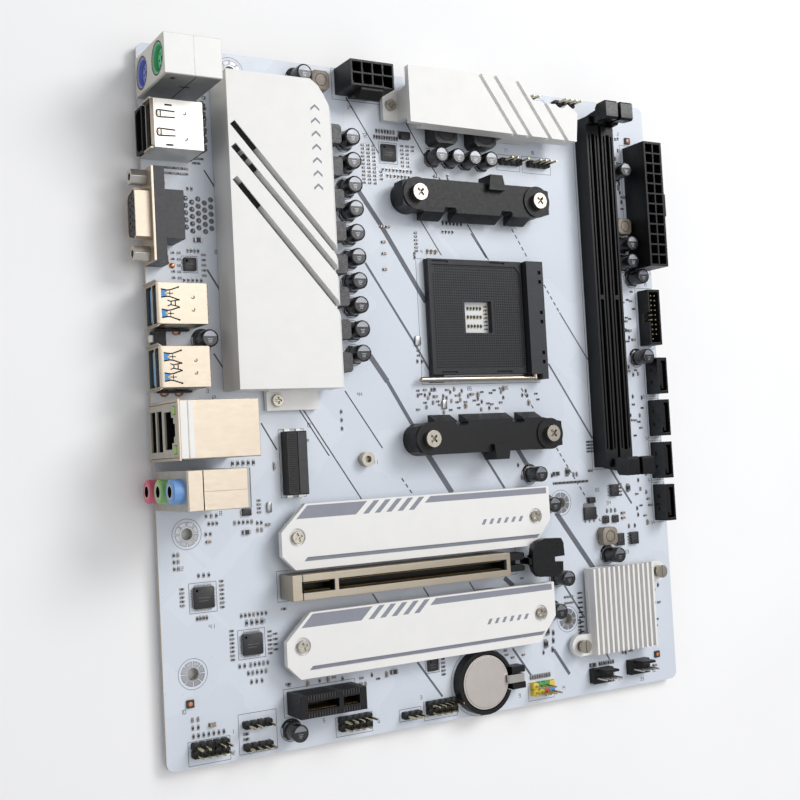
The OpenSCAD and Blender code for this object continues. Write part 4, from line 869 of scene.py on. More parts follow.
header(9.6, -235.4, 5, 2, 7)
header(27.8, -228.8, 4, 1, 2)
header(27.8, -236.2, 4, 1)
header(63.4, -235.4, 5, 2, 4)
header(89, -235.2, 3, 1)
header(99.3, -235.4, 5, 2, 4)
header(146.4, -235.4, 4, 2, 7, colours=lambda i, j: (("yellow", "yellow", "red", "usb_blue"), ("yellow", "green", "green", "yellow"))[j][i])
header(145.4, -28.9, 4, 1, 2)
header(158.9, -28.9, 4, 1)
header(154.9, -3.4, 3, 1)
header(173.4, -3.2, 4, 1)
hd.make("pin_header_rows", replaces=("pin_headers",))

# ------------------------------------------------------------------ power and data connector contacts
con = Build("pin", "gold")
for i in range(4):
    for j in range(2):
        x, y = 76.1 + i * 4.2, -7.35 + j * 4.2
        con.box(x - 0.55, x + 0.55, y - 0.55, y + 0.55, 2.4, 9.2, "pin", 0.15)
for i in range(2):
    for j in range(12):
        x, y = 208.2 + 2.7 + i * 4.2, -69.9 + 2.7 + j * 4.2
        con.box(x - 0.55, x + 0.55, y - 0.55, y + 0.55, 2.4, 9.2, "pin", 0.15)
for i in range(2):
    for j in range(10):
        if i == 1 and j == 0:
            continue
        x, y = 213.65 + 2 * i, -99.1 + j * 2
        con.box(x - 0.32, x + 0.32, y - 0.32, y + 0.32, 1.6, 5.7, "pin", 0.12)
for y0 in (-121.9, -139.3, -156.8, -174.3):
    for k in range(7):
        y = y0 + 3.2 + k * 1.27
        con.box(213.5 + 3.28, 213.5 + 3.42, y - 0.22, y + 0.22, 2.0, 6.3, "gold", 0.03)
con.make("connector_contacts")

slotc = Build("gold")
for x in (186.3, 193.9):
    y = -147.6 + 5.0
    while y < -12.4 - 4.6:
        if not -84 < y < -81:
            for s in (-1, 1):
                slotc.box(x + s * 1.9 - 0.2, x + s * 1.9 + 0.2, y - 0.18, y + 0.18, 5.45, 6.6, "gold", 0.06)
        y += 0.85
slotc.make("memory_slot_contacts")

exc = Build("gold")
for k in range(82):
    x = 46.6 + 4.2 - 4.2 + k * 1.0 + (2.0 if k >= 11 else 0)
    if x > 128.2:
        break
    for s, y in ((1, -182.95), (-1, -185.65)):
        exc.box(x - 0.25, x + 0.25, y - 0.12, y + 0.12, 3.0, 9.6, "gold", 0.05)
for k in range(18):
    x = 47 + k * 1.0 + (2.0 if k >= 11 else 0)
    for y in (-222.85, -225.35):
        exc.box(x - 0.25, x + 0.25, y - 0.12, y + 0.12, 3.0, 9.6, "gold", 0.05)
exc.make("expansion_slot_contacts")

ribs = Build("black", "void", "dark")
for k in range(19):
    x = 46.2 + k * 1.0 + (2.2 if k >= 11 else 0)
    if x > 65.8:
        break
    for y0, y1 in ((-228.12, -227.95), (-220.25, -220.08)):
        ribs.box(x - 0.28, x + 0.28, y0, y1, 1.2, 10.2, "black", 0.05)
    for y in (-227.0, -221.2):
        ribs.box(x - 0.3, x + 0.3, y - 0.75, y + 0.75, 10.9, 11.2, "dark", 0.06)
        # black between the rib tops: painted shade in the contact openings
        ribs.box(x + 0.32, x + 0.68, y - 0.7, y + 0.7, 10.98, 11.03, "void")
ribs.make("small_slot_ribs")

# ------------------------------------------------------------------ processor socket
sk = Build("socket_light", "void", "pin", "laminate", "solder", "res", "mlcc")
fx, fy, H = 129.05, -90.7, 3.2
for i in range(40):
    for j in range(39):
        x, y = fx - 19.5 + i, fy - 19.0 + j
        if abs(x - fx) < 6.9 and abs(y - fy) < 6.6:
            continue
        if (x - fx) > 17.9 and (y - fy) > 17.9 - 0.6 and (x - fx) + (y - fy) > 36.8 or (x - fx) < -18.6 and (y - fy) > 16.8:
            continue
        z = H - 0.4
        sk.ring(x, y, 0.26, 0.43, z - 0.06, "socket_light", 8, z0=z + 0.012)
        # a black disc in each pin hole: painted shade in the hole
        sk.add([(x + 0.26 * math.cos(T * k / 8), y + 0.26 * math.sin(T * k / 8), z + 0.004) for k in range(8)], [tuple(range(8))], "void")
sk.make("socket_pin_field", body="cpu_socket_cover")

win = Build("solder", "res", "gold", "laminate")


def window_part(x, y, up):
    w, d = (0.42, 0.8) if up else (0.8, 0.42)
    win.box(x - w * 0.85, x + w * 0.85, y - d * 0.62, y + d * 0.62, 0.03, 0.5, "res", 0.04)
    for s_ in (-1, 1):
        dx, dy = (0, s_ * 0.52) if up else (s_ * 0.52, 0)
        win.box(x + dx - 0.22, x + dx + 0.22, y + dy - 0.2, y + dy + 0.2, 0.02, 0.55, "gold", 0.05)


win.flat([(123.1, -96.6), (135.0, -96.6), (135.0, -84.8), (123.1, -84.8)], 0.03, "laminate")
for y in (-87.1, -90.4, -93.9):
    for k in range(5):
        window_part(125.9 + k * 1.45, y, True)
for k in range(7):
    window_part(133.9, -86.3 - k * 1.45, False)
win.make("socket_window_parts")

# ------------------------------------------------------------------ small surface-mount parts
sm = Build("res", "solder", "mlcc", "mlcc_grey", "epoxy", "amber")
tree_nodes = [n for n in NODES if n not in ("pcb", "solder_tails", "cooler_backplate", "chips", "vrm_capacitors", "top_capacitors", "scattered_capacitors", "pin_headers", "bracket_screws")]
tv, tf = [], []
for n in tree_nodes:
    me_ = NODES[n].data
    o_ = len(tv)
    tv.extend([v.co.copy() for v in me_.vertices])
    tf.extend([[i + o_ for i in p.vertices] for p in me_.polygons])
TREE = BVHTree.FromPolygons(tv, tf)
UP = Vector((0, 0, 1))
KEEP = [(75.9, -27 - i * 8.64, 4.0) for i in range(10)] + [(58, -5.8, 4), (18.5, -99.6, 4), (202.7, -29.4, 4), (203.9, -59.8, 4), (203.6, -67.1, 4), (208.6, -73.3, 4), (208.8, -106.5, 4),
        (158.1, -164, 4), (161.2, -192.7, 4), (158.1, -205.3, 4), (150.8, -151.7, 4), (44.3, -233.2, 4), (187.2, -186, 4), (14.8, -185, 6), (31.3, -202.3, 6), (94.5, -29.6, 4.2),
        (15.3, -74, 3.2), (101.8, -218.8, 3.2), (165.1, -163.83, 3.9), (165.1, -209.55, 3.9), (10.16, -163.83, 5), (10.16, -209.55, 5)] + [(x, -30.4, 4) for x in (113.3, 120.8, 128.3, 135.8)]
TAKEN = []


def free(x, y, r=0.9):
    for dx, dy in ((0, 0), (r, 0), (-r, 0), (0, r), (0, -r)):
        hit = TREE.ray_cast(Vector(row((x + dx, y + dy, 60))), -UP)
        if hit[0] is not None and hit[0].z > 0.0018:
            return False
    for kx, ky, kr in KEEP:
        if (x - kx) ** 2 + (y - ky) ** 2 < kr * kr:
            return False
    for tx, ty in TAKEN:
        if abs(x - tx) < r and abs(y - ty) < r:
            return False
    return 0.6 < x < 219.4 and -239.4 < y < -0.6


KIND = {"r": (1.2, 0.66, 0.4, "res"), "c": (1.15, 0.66, 0.52, "mlcc"), "g": (1.25, 0.7, 0.5, "mlcc_grey"), "R": (1.6, 0.85, 0.45, "res"), "C": (1.6, 0.85, 0.8, "mlcc"),
        "D": (2.6, 1.5, 0.95, "epoxy"), "B": (2.0, 1.3, 1.1, "mlcc")}


def smd(x, y, kind="r", ang=0.0, check=False):
    w, d, h, m = KIND[kind]
    if check and not free(x, y, max(w, d) * 0.75):
        return
    TAKEN.append((x, y))
    e = w * 0.22
    sm.obox(x, y, w - 1.4 * e, d * 0.97, 0.03, h, ang, m, 0.03)
    ca, sa = math.cos(ang), math.sin(ang)
    for s_ in (-1, 1):
        t_ = s_ * (w / 2 - e / 2)
        sm.obox(x + t_ * ca, y + t_ * sa, e, d, 0.02, h + 0.03, ang, "solder", 0.04)
        t_ = s_ * (w / 2 + 0.02)
        sm.obox(x + t_ * ca, y + t_ * sa, e + 0.35, d + 0.12, 0.0, 0.045, ang, "solder")


def rowof(x0, y0, x1, y1, n, kinds="r", ang=math.pi / 2):
    for i in range(n):
        t_ = i / max(1, n - 1)
        smd(x0 + (x1 - x0) * t_, y0 + (y1 - y0) * t_, kinds[i % len(kinds)], ang)


Q = math.pi / 2
rowof(90, -21.7, 96, -21.7, 6, "rcrrrc")
rowof(97.3, -21.7, 99.5, -21.7, 2, "c")
rowof(89, -24, 98.6, -24, 10, "rrrcrrrcrr")
for k, x in enumerate((83.9, 86.2, 88.5)):
    rowof(x, -27.4, x, -41.4, 11, ("crccrc", "rrgrrr", "rgrrrr")[k], 0)
rowof(100.6, -26.5, 100.6, -34, 6, "rgr", 0)
rowof(102.9, -26.5, 102.9, -34, 6, "grr", 0)
smd(105.2, -26.5, "r", 0)
smd(105.2, -27.9, "r", 0)
rowof(92, -36, 104, -36, 9, "rrcr")
rowof(93.8, -38.2, 103, -38.2, 7, "rcrr")
rowof(91.2, -36.8, 91.2, -39.6, 3, "r", 0)
for x, y, k in ((114.8, -36.8, "C"), (114.8, -38.6, "C"), (120.2, -36.4, "r"), (120.2, -38, "r"), (90.2, -57.3, "C"), (92.6, -57.3, "C"), (90.6, -63, "C"), (90.6, -67.3, "C"), (90.6, -73.2, "C"),
                (103.6, -66.8, "r"), (103.6, -68.3, "r"), (180.8, -152, "C"), (43.7, -192, "R"), (44, -217.7, "R"), (69.6, -125, "r"), (69.6, -128, "r"), (69.6, -131, "r"),
                (55.3, -134.6, "C"), (42.6, -142.4, "g"), (42.6, -143.8, "g"), (172.4, -202.6, "B"), (208.3, -233.4, "C"), (176.2, -229, "D"), (64.8, -218.7, "r"), (85.6, -219.2, "D"),
                (196.4, -170, "C"), (196.4, -172, "C"), (199.2, -175.6, "g"), (202.4, -175.6, "r"), (211.4, -167.8, "C"), (16, -226.9, "B"), (17.6, -166.9, "C"), (31.2, -164.8, "D"), (39.3, -162.8, "C")):
    smd(x, y, k, 0 if k in "CDRB" else Q, True)
rowof(104.6, -59, 104.6, -65.8, 6, "gr", 0)
rowof(116.8, -54.6, 125, -54.6, 6, "r")
rowof(116.6, -58, 121, -58, 4, "r")
rowof(109.4, -65.8, 113, -65.8, 3, "C")
rowof(103.1, -103.2, 103.1, -105, 2, "r", 0)
rowof(102.4, -107.2, 104.4, -107.2, 2, "r")
rowof(7.6, -181.6, 7.6, -187, 5, "rgr", 0)
rowof(21.5, -180.3, 21.5, -188.9, 7, "rgrr", 0)
rowof(12.5, -191.8, 15.8, -191.8, 4, "rr")
rowof(28, -192.6, 37, -192.6, 7, "rrrcrrr")
rowof(29.8, -195.2, 35.4, -195.2, 4, "R")
rowof(24.3, -197.2, 24.3, -206.8, 8, "rrgr", 0)
rowof(38, -199, 38, -206.3, 6, "rgr", 0)
rowof(40, -200, 40, -205.3, 4, "r", 0)
rowof(26.6, -209.3, 28.4, -209.3, 2, "r")
rowof(30.6, -209.3, 36.8, -209.3, 5, "grrgr")
rowof(29.6, -212, 36, -212, 5, "rgrrg")
rowof(30.6, -215, 34.4, -215, 3, "r")
rowof(9.3, -224.4, 11.2, -224.4, 2, "g")
rowof(9.3, -227, 11.2, -227, 2, "r")
rowof(9.4, -229.7, 20, -229.7, 7, "r")
smd(27.8, -231.9, "R", 0)
smd(27.8, -233.6, "R", 0)
rowof(27.4, -141.4, 35, -141.4, 5, "R")
rowof(17.2, -158.4, 20.8, -158.4, 3, "rgr")
rowof(18, -161, 20.8, -161, 3, "r")
rowof(36.3, -154.4, 36.3, -158.4, 4, "rg", 0)
rowof(27.2, -161.4, 33.4, -161.4, 5, "grrrg")
rowof(35.4, -162, 36.9, -162, 2, "r")
rowof(35.4, -164.4, 36.9, -164.4, 2, "g")
rowof(16.8, -164.4, 18.4, -164.4, 2, "r")
for y in (-170.4, -172.6, -174.9):
    rowof(5.4, y, 6.8, y, 2, "rg")
rowof(13.6, -177.8, 17.2, -177.8, 3, "rr")
rowof(106.5, -217.4, 106.5, -223, 5, "rg", 0)
rowof(145.6, -229.7, 154.6, -229.7, 9, "g")
rowof(179.6, -229, 186.6, -229, 7, "rg")
for y in (-200.9, -203.3):
    rowof(164.8, y, 167.6, y, 3, "g", 0)
rowof(170.9, -210.6, 170.9, -217, 6, "r", 0)
for x, y, k in ((154.6, -213, "D"), (157.6, -214, "R"), (153.6, -217.8, "D"), (157.4, -217, "R"), (156.8, -220.4, "R"), (152.4, -221, "r")):
    smd(x, y, k, Q, True)
rowof(180.4, -140.3, 180.4, -144.2, 4, "r", 0)
rowof(182.2, -140.3, 182.2, -144.2, 4, "g", 0)
rowof(195.8, -158.2, 195.8, -162.6, 4, "gr", 0)
rowof(188.2, -168.6, 192.4, -168.6, 3, "g")
smd(163.6, -152.2, "D", 0)
smd(169, -151.8, "D", Q)
rowof(172.2, -153, 173.8, -153, 2, "g")
rowof(161.4, -152.8, 160.2, -153.4, 1, "r")
for k in range(9):
    smd(162.8 + 1.95 * k, -156.0, "R", 0)
smd(199.8, -160, "D", Q)
rowof(8.2, -41.6, 15.6, -41.6, 6, "rg", 0)
rowof(8.2, -43.4, 15.6, -43.4, 6, "gr", 0)
rowof(18.6, -37.8, 21.2, -37.8, 3, "rg", 0)
rowof(18.6, -39.4, 20.0, -39.4, 2, "r", 0)
rowof(15.8, -48.3, 17.2, -48.3, 2, "r")
rowof(12.2, -53, 12.2, -63.8, 5, "g", Q)
smd(18.6, -65.6, "D", 0)
rowof(15, -69.4, 18.6, -69.4, 4, "gr")
for y in (-70.2, -72.3, -74.4, -76.5, -78.6):
    rowof(9.6, y, 11.8, y, 2, "rg", 0)
rowof(20.4, -70.6, 20.4, -77.6, 5, "gr", 0)
rowof(13.2, -79.4, 19.2, -79.4, 5, "r")
rng = random.Random(5)
for _ in range(120):
    x, y = rng.uniform(100.5, 141), rng.uniform(-126.5, -117.6)
    if free(x, y, 1.25) and not 98 < x - (y + 117) * -0.6 < 100:
        smd(x, y, rng.choice("rrrgcC"), rng.choice((0, Q)))
for (x0, x1, y0, y1, n) in ((204.6, 207.4, -45, -24, 10), (199, 206.5, -24, -10, 9), (203, 209.6, -101, -78, 14), (200, 210, -118, -110, 8), (203.6, 210.6, -176, -120, 26), (148.5, 157, -126, -118, 6),
                            (160.2, 181, -16, -12, 4), (143.6, 150.5, -146, -158, 3), (132, 146, -217.5, -221, 4), (50, 62, -218.4, -217.6, 4), (71, 84, -219, -223, 6), (113, 118, -217, -222, 2),
                            (143, 150, -190.5, -194, 8), (188, 206, -226.5, -225.4, 3), (206.5, 214, -222, -199, 8)):
    y0, y1 = min(y0, y1), max(y0, y1)
    for _ in range(n * 5):
        x, y = rng.uniform(x0, x1), rng.uniform(y0, y1)
        if n and free(x, y, 1.4):
            smd(x, y, rng.choice("rrgcCr"), rng.choice((0, Q)))
            n -= 1
# indicator lamps in their dark frames
for x, y in ((210.8, -15), (8.7, -219), (209.8, -229)):
    sm.box(x - 1.3, x + 1.3, y - 1.3, y + 1.3, 0.0, 0.8, "epoxy", 0.1)
    sm.lathe((x, y, 0.8), [(0.75, -0.02), (0.7, 0.03), (0.35, 0.06), (0.0, 0.07)], "amber", 16, cap=False)
sm.make("surface_mount_parts")

# bright through-hole solder domes behind the rear connectors
dm = Build("solder", "copper")
for c in range(5):
    for r_ in range(5):
        x, y = 14.8 + c * 2.25, -51.6 - r_ * 2.45 - (1.2 if c % 2 else 0)
        if x > 24.4:
            continue
        dm.lathe((x, y, 0), [(0.95, 0.012), (0.9, 0.04), (0.62, 0.16), (0.42, 0.42), (0.25, 0.62), (0.0, 0.66)], "solder", 14, cap=False)
for k in range(10):
    for x in (19.6, 22.2):
        y = -14.6 - 1.85 * k
        if y < -32.8:
            break
        dm.lathe((x + (0.9 if k % 2 else 0), y, 0), [(0.78, 0.012), (0.72, 0.05), (0.4, 0.26), (0.0, 0.34)], "solder", 12, cap=False)
for x, y in ((7.2, -46.6), (7.4, -73.4), (9.2, -74.6)):
    dm.lathe((x, y, 0), [(1.0, 0.012), (0.9, 0.3), (0.5, 0.9), (0.0, 1.0)], "copper", 14, cap=False)
for yb in (-96.6, -117.0):
    for x in (4.6, 9.6):
        dm.tube([(x + 1.3 * math.cos(a), yb + 1.1 * math.sin(a), 0.35) for a in [T * k / 18 for k in range(18)]], 0.28, "copper", 8, closed=True)
dm.make("solder_domes")

# ------------------------------------------------------------------ heatsink grooves: grey floors and black strips as painted shade in the grooves, and chevron marks
gv = Build("groove", "void", "powder")


def groove_floor(a, b, w, z, x0, x1, dark=(), mat="groove"):
    a, b = Vector(a), Vector(b)
    d = (b - a).normalized()
    n_ = Vector((-d.y, d.x)) * (w / 2 - 0.03)

    def at(x):
        return a + d * ((x - a.x) / d.x)

    def strip(u, v, m, zz):
        p, q = at(u), at(v)
        gv.flat([tuple(p - n_), tuple(q - n_), tuple(q + n_), tuple(p + n_)], zz, m)

    # grey floor along the groove: painted shade
    strip(x0, x1, mat, z)
    # black strips near the top at the groove ends: painted shade
    for u, v in dark:
        strip(u, v, "void", 14.5)


groove_floor((23, -24), (67, -74.2), 2.2, 11.53, 26.6, 63.2, ((27.0, 34.5),))
groove_floor((23, -31.7), (67, -80.9), 2.2, 11.53, 26.6, 63.2, ((27.2, 28.8), (29.8, 31.2), (32.6, 34.4)))
groove_floor((23, -42.6), (67, -93.6), 2.2, 11.53, 26.6, 63.2, ((28.6, 35.0),))
# a row of fine chevrons on a broad white face
for k in range(7):
    x, y, z = 57.6, -20.5 - k * 4.6, 15.012
    for s_ in (-1, 1):
        gv.flat([(x - 1.7 * s_, y - 1.2), (x - 1.7 * s_, y - 0.3), (x, y + 1.2), (x, y + 0.3)][:: 1 if s_ < 0 else -1], z, "groove")
gv.make("heatsink_grooves")

deco = Build("deco")
for y in (-156.4, -193.3):
    dy = y + 156.4
    z = 7.012

    def A(px, py, h=7.0):
        return (px - (px + 122.8) * h / 373.4, py - (py + 140.7) * h / 373.4)

    off = 0.0 if dy == 0 else -37.6

    def S(pts):
        out = []
        for px, py in pts:
            q = A(px, py)
            out.append((q[0], q[1] + dy))
        return out

    deco.flat(S([(50, -161.8), (54.5, -157.3), (78.3, -157.3), (73.5, -161.8)]), z, "deco")
    for k in range(5):
        x = 76.3 + k * 4.75
        deco.flat(S([(x, -161.8), (x + 4.7, -157.3), (x + 7.0, -157.3), (x + 2.3, -161.8)]), z, "deco")
    deco.flat(S([(102.3, -159.6), (104.9, -157.3), (158.2, -157.3), (158.2, -159.6)]), z, "deco")
    # generic tick marks at the plain end
    for k in range(6):
        x = 127 + k * 3.4
        deco.flat(S([(x, -169.6), (x + 1.2, -167.6), (x + 2.6, -167.6), (x + 1.4, -169.6)]), z, "deco")
deco.make("cover_print")
# grey floor in the slot along each M.2 cover: painted shade in the slot
slit = Build("groove")
for dy in (0, -36.9):
    y = -156.4 + dy
    slit.flat([(49.1, y - 19.55), (50.45, y - 18.25), (148.8, y - 18.25), (147.6, y - 19.55)], 6.52, "groove")
slit.make("cover_slot_floor")

# ------------------------------------------------------------------ rear connector details
io = Build("void", "grey_metal_and_side_shade", "nickel", "black", "steel", "usb_blue", "gold", "led_green", "led_amber", "white_top_painted_highlight", "black_gloss", "beige", "copper")
# keyboard and mouse stack: a white sheet on the top as painted highlight, and a folded grey metal side whose darker
# grey is painted shade
io.box(-0.3, 18.6, -19.0, -6.4, 28.5, 28.56, "white_top_painted_highlight")
# grey metal sheet on the −y side, facing the video stack: its darker grey is painted shade
io.box(0.4, 18.5, -19.32, -19.2, 0.4, 27.9, "grey_metal_and_side_shade", 0.05)
io.box(10.0, 10.25, -19.36, -19.3, 0.6, 27.8, "void")
io.lathe((3.6, -19.36, 24.4), [(0.75, 0.0), (0.6, 0.0)], "steel", 16, axis="y")
io.box(8.4, 11.8, -19.37, -19.3, 16.6, 17.2, "void")
io.box(9.4, 9.6, -19.0, -6.4, 28.56, 28.575, "grey_metal_and_side_shade")
for zc in (6.6, 22.1):
    io.lathe((-0.53, -12.7, zc), [(4.95, 0.0), (5.45, 0.0)], "black", 44, axis="x", cap=False)
# video stack: sprung fingers cut in the top
for yc in (-28.4, -34.4):
    z = 16.06
    io.stripe([(6.7, yc + 0.95), (1.3, yc + 1.15), (0.75, yc + 0.9), (0.55, yc), (0.75, yc - 0.9), (1.3, yc - 1.15), (6.7, yc - 0.95)], 0.42, z, "void")
    io.stripe([(1.9, yc + 0.85), (1.9, yc - 0.85)], 0.4, z, "void")
    io.box(1.0, 1.8, yc - 0.6, yc + 0.6, 15.95, 16.12, "nickel", 0.06)
for yc in (-25.4, -38.4):
    io.box(3.4, 5.8, yc - 0.26, yc + 0.26, 15.98, 16.07, "void")
for x, y in ((10.0, -27.7), (10.2, -36.0)):
    io.ring(x, y, 0.3, 0.6, 16.06, "void", 16, math.radians(-150), math.radians(60))
for k in range(6):
    y = -24.3 - 2.75 * k
    io.box(16.3, 17.6, y - 1.0, y + 0.95, 11.4, 15.3, "black", 0.15)
io.box(16.3, 17.0, -39.3, -23.5, 1.0, 12.0, "black", 0.1)
# upper video socket: bright flared rim
for y0, y1 in ((-39.5, -38.9), (-23.9, -23.3)):
    io.prism([(-0.5, y0, 8.4), (-1.5, y0 - 0.2 if y0 < -30 else y0 + 0.2, 8.4), (-1.5, y1 - 0.2 if y0 < -30 else y1 + 0.2, 8.4), (-0.5, y1, 8.4)], (0, 0, 7.0), "nickel")
io.prism([(-0.5, -38.9, 16.0), (-1.6, -38.9, 16.55), (-1.6, -38.9, 16.3), (-0.5, -38.9, 15.7)], (0, 15.0, 0), "nickel")
# contact rows in both video sockets
for k in range(10):
    y = -35.6 + k * 0.92
    io.box(0.6, 6, y - 0.16, y + 0.16, 3.5, 3.62, "gold")
    io.box(1.6, 6, y - 0.16, y + 0.16, 11.3, 11.42, "gold")
# twin ports: flared springs cut in the top with blue showing through
for y0, y1 in ((-95.7, -82.4), (-116.1, -102.8)):
    z = 13.52
    for yc in (y1 - 3.5, y1 - 10.0):
        for s_ in (-1, 1):
            io.stripe([(0.3, yc + s_ * 1.35), (2.4, yc + s_ * 1.0), (3.4, yc + s_ * 1.1), (6.2, yc + s_ * 2.05)], 0.42, z, "void")
            io.disc(6.2, yc + s_ * 2.05, 0.32, z + 0.001, "void", 12)
        io.flat([(0.3, yc - 1.25), (2.3, yc - 0.85), (2.3, yc + 0.85), (0.3, yc + 1.25)], z - 0.004, "usb_blue")
        io.box(1.5, 2.3, yc - 0.42, yc + 0.42, z - 0.05, z + 0.1, "gold", 0.05)
        io.stripe([(2.4, yc), (4.4, yc)], 0.3, z + 0.002, "void")
        io.stripe([(3.3, yc - 0.75), (3.3, yc + 0.75)], 0.26, z + 0.002, "void")
    ym = (y0 + y1) / 2
    for s_ in (-1, 1):
        io.stripe([(2.4, ym + s_ * 0.95), (3.4, ym + s_ * 0.55), (6.0, ym + s_ * 1.05)], 0.36, z, "void")
    io.stripe([(3.6, ym - 0.6), (3.6, ym + 0.6)], 0.36, z, "void")
    io.stripe([(5.0, ym - 0.8), (5.0, ym + 0.8)], 0.36, z, "void")
    for s_ in (-1, 1):
        io.ring(11.0, ym + 2.05 * s_, 0.38, 0.62, z, "void", 18, math.radians(-170), math.radians(60))
        io.stripe([(11.0, ym + 2.05 * s_ - 0.02), (11.5, ym + 2.05 * s_)], 0.16, z, "void")
    for k in range(6):
        y = y0 + 1.4 + k * 2.1
        io.box(15.9, 16.35, y - 0.75, y + 0.75, 0.6, 13.2, "nickel", 0.2)
    io.box(2.0, 13.5, y0 - 1.0, y0 - 0.3, 0.0, 2.4, "black", 0.1)
    # brighter blue strips on the tongue fronts: painted highlight
    for zz in (3.6, 10.2):
        io.box(0.1, 0.42, y0 + 1.25, y0 + 12.05, zz - 0.05, zz + 1.95, "usb_blue_painted_lit", 0.1)
    # contacts under the blue tongues
    for zz in (3.5, 10.1):
        for k in range(4):
            y = y0 + 3.3 + k * 2.2
            io.box(0.8, 7.5, y - 0.45, y + 0.45, zz - 0.02, zz + 0.12, "gold")
# network and twin port stack
# white strips along the front of the top: painted highlight
for a_, b_ in ((0.2, 2.6), (3.1, 4.6)):
    io.box(a_ - 0.6, b_ - 0.6, -138.9, -121.3, 28.0, 28.04, "white_top_painted_highlight")
io.box(2.15, 2.4, -139.0, -121.2, 28.03, 28.05, "grey_metal_and_side_shade")
for y, m in ((-124.0, "led_green"), (-136.2, "led_green")):
    io.box(-1.25, 3.0, y - 1.25, y + 1.25, 23.5, 25.8, m, 0.25)
for k in range(8):
    y = -130.1 - 3.57 + k * 1.02
    io.box(2.5, 12, y - 0.16, y + 0.16, 16.0, 16.25, "gold")
for zz in (1.6, 7.9):
    for k in range(4):
        y = -130.1 - 3.75 + k * 2.5
        io.box(0.6, 9, y - 0.5, y + 0.5, zz + 3.35, zz + 3.5, "gold")
# grey and black sheets on the −y side, facing the audio stack: painted shade, darkest towards the board
io.box(0.4, 26.1, -139.35, -139.2, 24.2, 27.9, "grey_metal_and_side_shade", 0.04)
io.box(1.5, 25.5, -139.34, -139.2, 0.6, 22.5, "black", 0.04)
# audio stack: bright sheet over the top, stepped
io.box(0.0, 4.6, -155.1, -142.9, 32.0, 32.12, "nickel", 0.03)
io.box(4.62, 4.9, -155.1, -142.9, 31.95, 32.02, "void")
io.box(4.95, 19.2, -149.35, -142.9, 32.0, 32.06, "nickel", 0.02)
io.box(4.95, 19.2, -155.1, -149.45, 32.0, 32.09, "nickel", 0.02)
io.box(20.6, 21.0, -154.6, -143.4, 2, 29, "black", 0.1)
# black plugs in the pin holes and key slot of the two round sockets: painted shade inside the holes
for zc in (6.6, 22.1):
    for a in (20, 90, 160, 215, 270, 325):
        y, z = -12.7 + 2.3 * math.cos(math.radians(a)), zc + 2.3 * math.sin(math.radians(a))
        io.tube([(1.06, y, z), (5.5, y, z)], 0.43, "void", 14)
    io.box(1.06, 7.5, -13.65, -11.75, zc - 0.55, zc + 1.35, "void")
io.make("rear_connector_details")

# plug bores' spring contacts
jk = Build("void", "steel")
for z in (4.6, 15.8, 27):
    jk.lathe((-4.31, -149, z), [(1.82, 0.0), (2.25, 0.0)], "steel", 28, axis="x", cap=False)
jk.make("jack_rims")

wf = Build("black_gloss", "dark", "steel", "pin", "void")
wx0, wx1, wy0, wy1, WIFI_H = 45.6, 53.6, -153.3, -131.3, 4.2
wf.box(wx0 + 0.3, wx0 + 4.2, wy0 + 0.4, wy1 - 0.4, WIFI_H - 0.02, WIFI_H + 0.14, "black_gloss", 0.05)
for k in range(26):
    y = wy0 + 1.3 + k * (wy1 - wy0 - 2.6) / 25
    wf.box(wx0 + 0.9, wx0 + 3.9, y - 0.16, y + 0.16, WIFI_H + 0.12, WIFI_H + 0.26, "black", 0.03)
    wf.box(wx0 - 0.95, wx0 + 0.1, y - 0.13, y + 0.13, 0.02, 0.22, "steel")
wf.box(wx0 + 4.5, wx1 - 0.2, wy0 + 0.4, wy1 - 0.4, WIFI_H - 0.02, WIFI_H + 0.1, "dark", 0.05)
wf.box(wx0 + 4.24, wx0 + 4.46, wy0 + 0.3, wy1 - 0.3, WIFI_H - 0.02, WIFI_H + 0.03, "void")
for y0_, y1_ in ((wy0 - 0.9, wy0 + 0.3), (wy1 - 0.3, wy1 + 0.9)):
    wf.box(wx0 + 1.2, wx0 + 3.4, y0_, y1_, 0.02, 0.5, "steel", 0.06)
    wf.box(wx1 - 2.4, wx1 - 0.6, y0_, y1_, 0.02, 0.5, "steel", 0.06)
wf.make("wireless_socket_details")

# two keyed fan sockets: base, back wall and long pins
fan = Build("black", "steel")
for x, y in ((179.3, -233.1), (198.4, -232.2)):
    fan.box(x - 5.1, x + 5.1, y - 2.9, y + 2.9, 0.03, 3.0, "black", 0.2)
    fan.box(x - 3.4, x + 3.4, y + 1.9, y + 2.9, 2.9, 8.6, "black", 0.25)
    for k in range(4):
        px = x - 3.81 + 2.54 * k
        fan.box(px - 0.32, px + 0.32, y - 0.9, y - 0.26, 2.9, 9.6, "steel", 0.12)
fan.make("fan_sockets")

# indicator combs beside the lower right sink
comb = Build("res", "solder", "brass", "steel")
for k in range(9):
    y = -200 - 1.9 * k
    comb.box(170.7, 172.3, y - 0.3, y + 0.3, 0.03, 0.55, "res", 0.04)
    comb.box(172.25, 172.75, y - 0.33, y + 0.33, 0.02, 0.58, "solder", 0.04)
comb.make("resistor_comb")

cap_ = Build("nickel_dark", "void", "nickel")
cap_.box(46.0, 46.3, -188.62, -179.98, 0.3, 11.23, "void")
cap_.make("slot_end_seam")

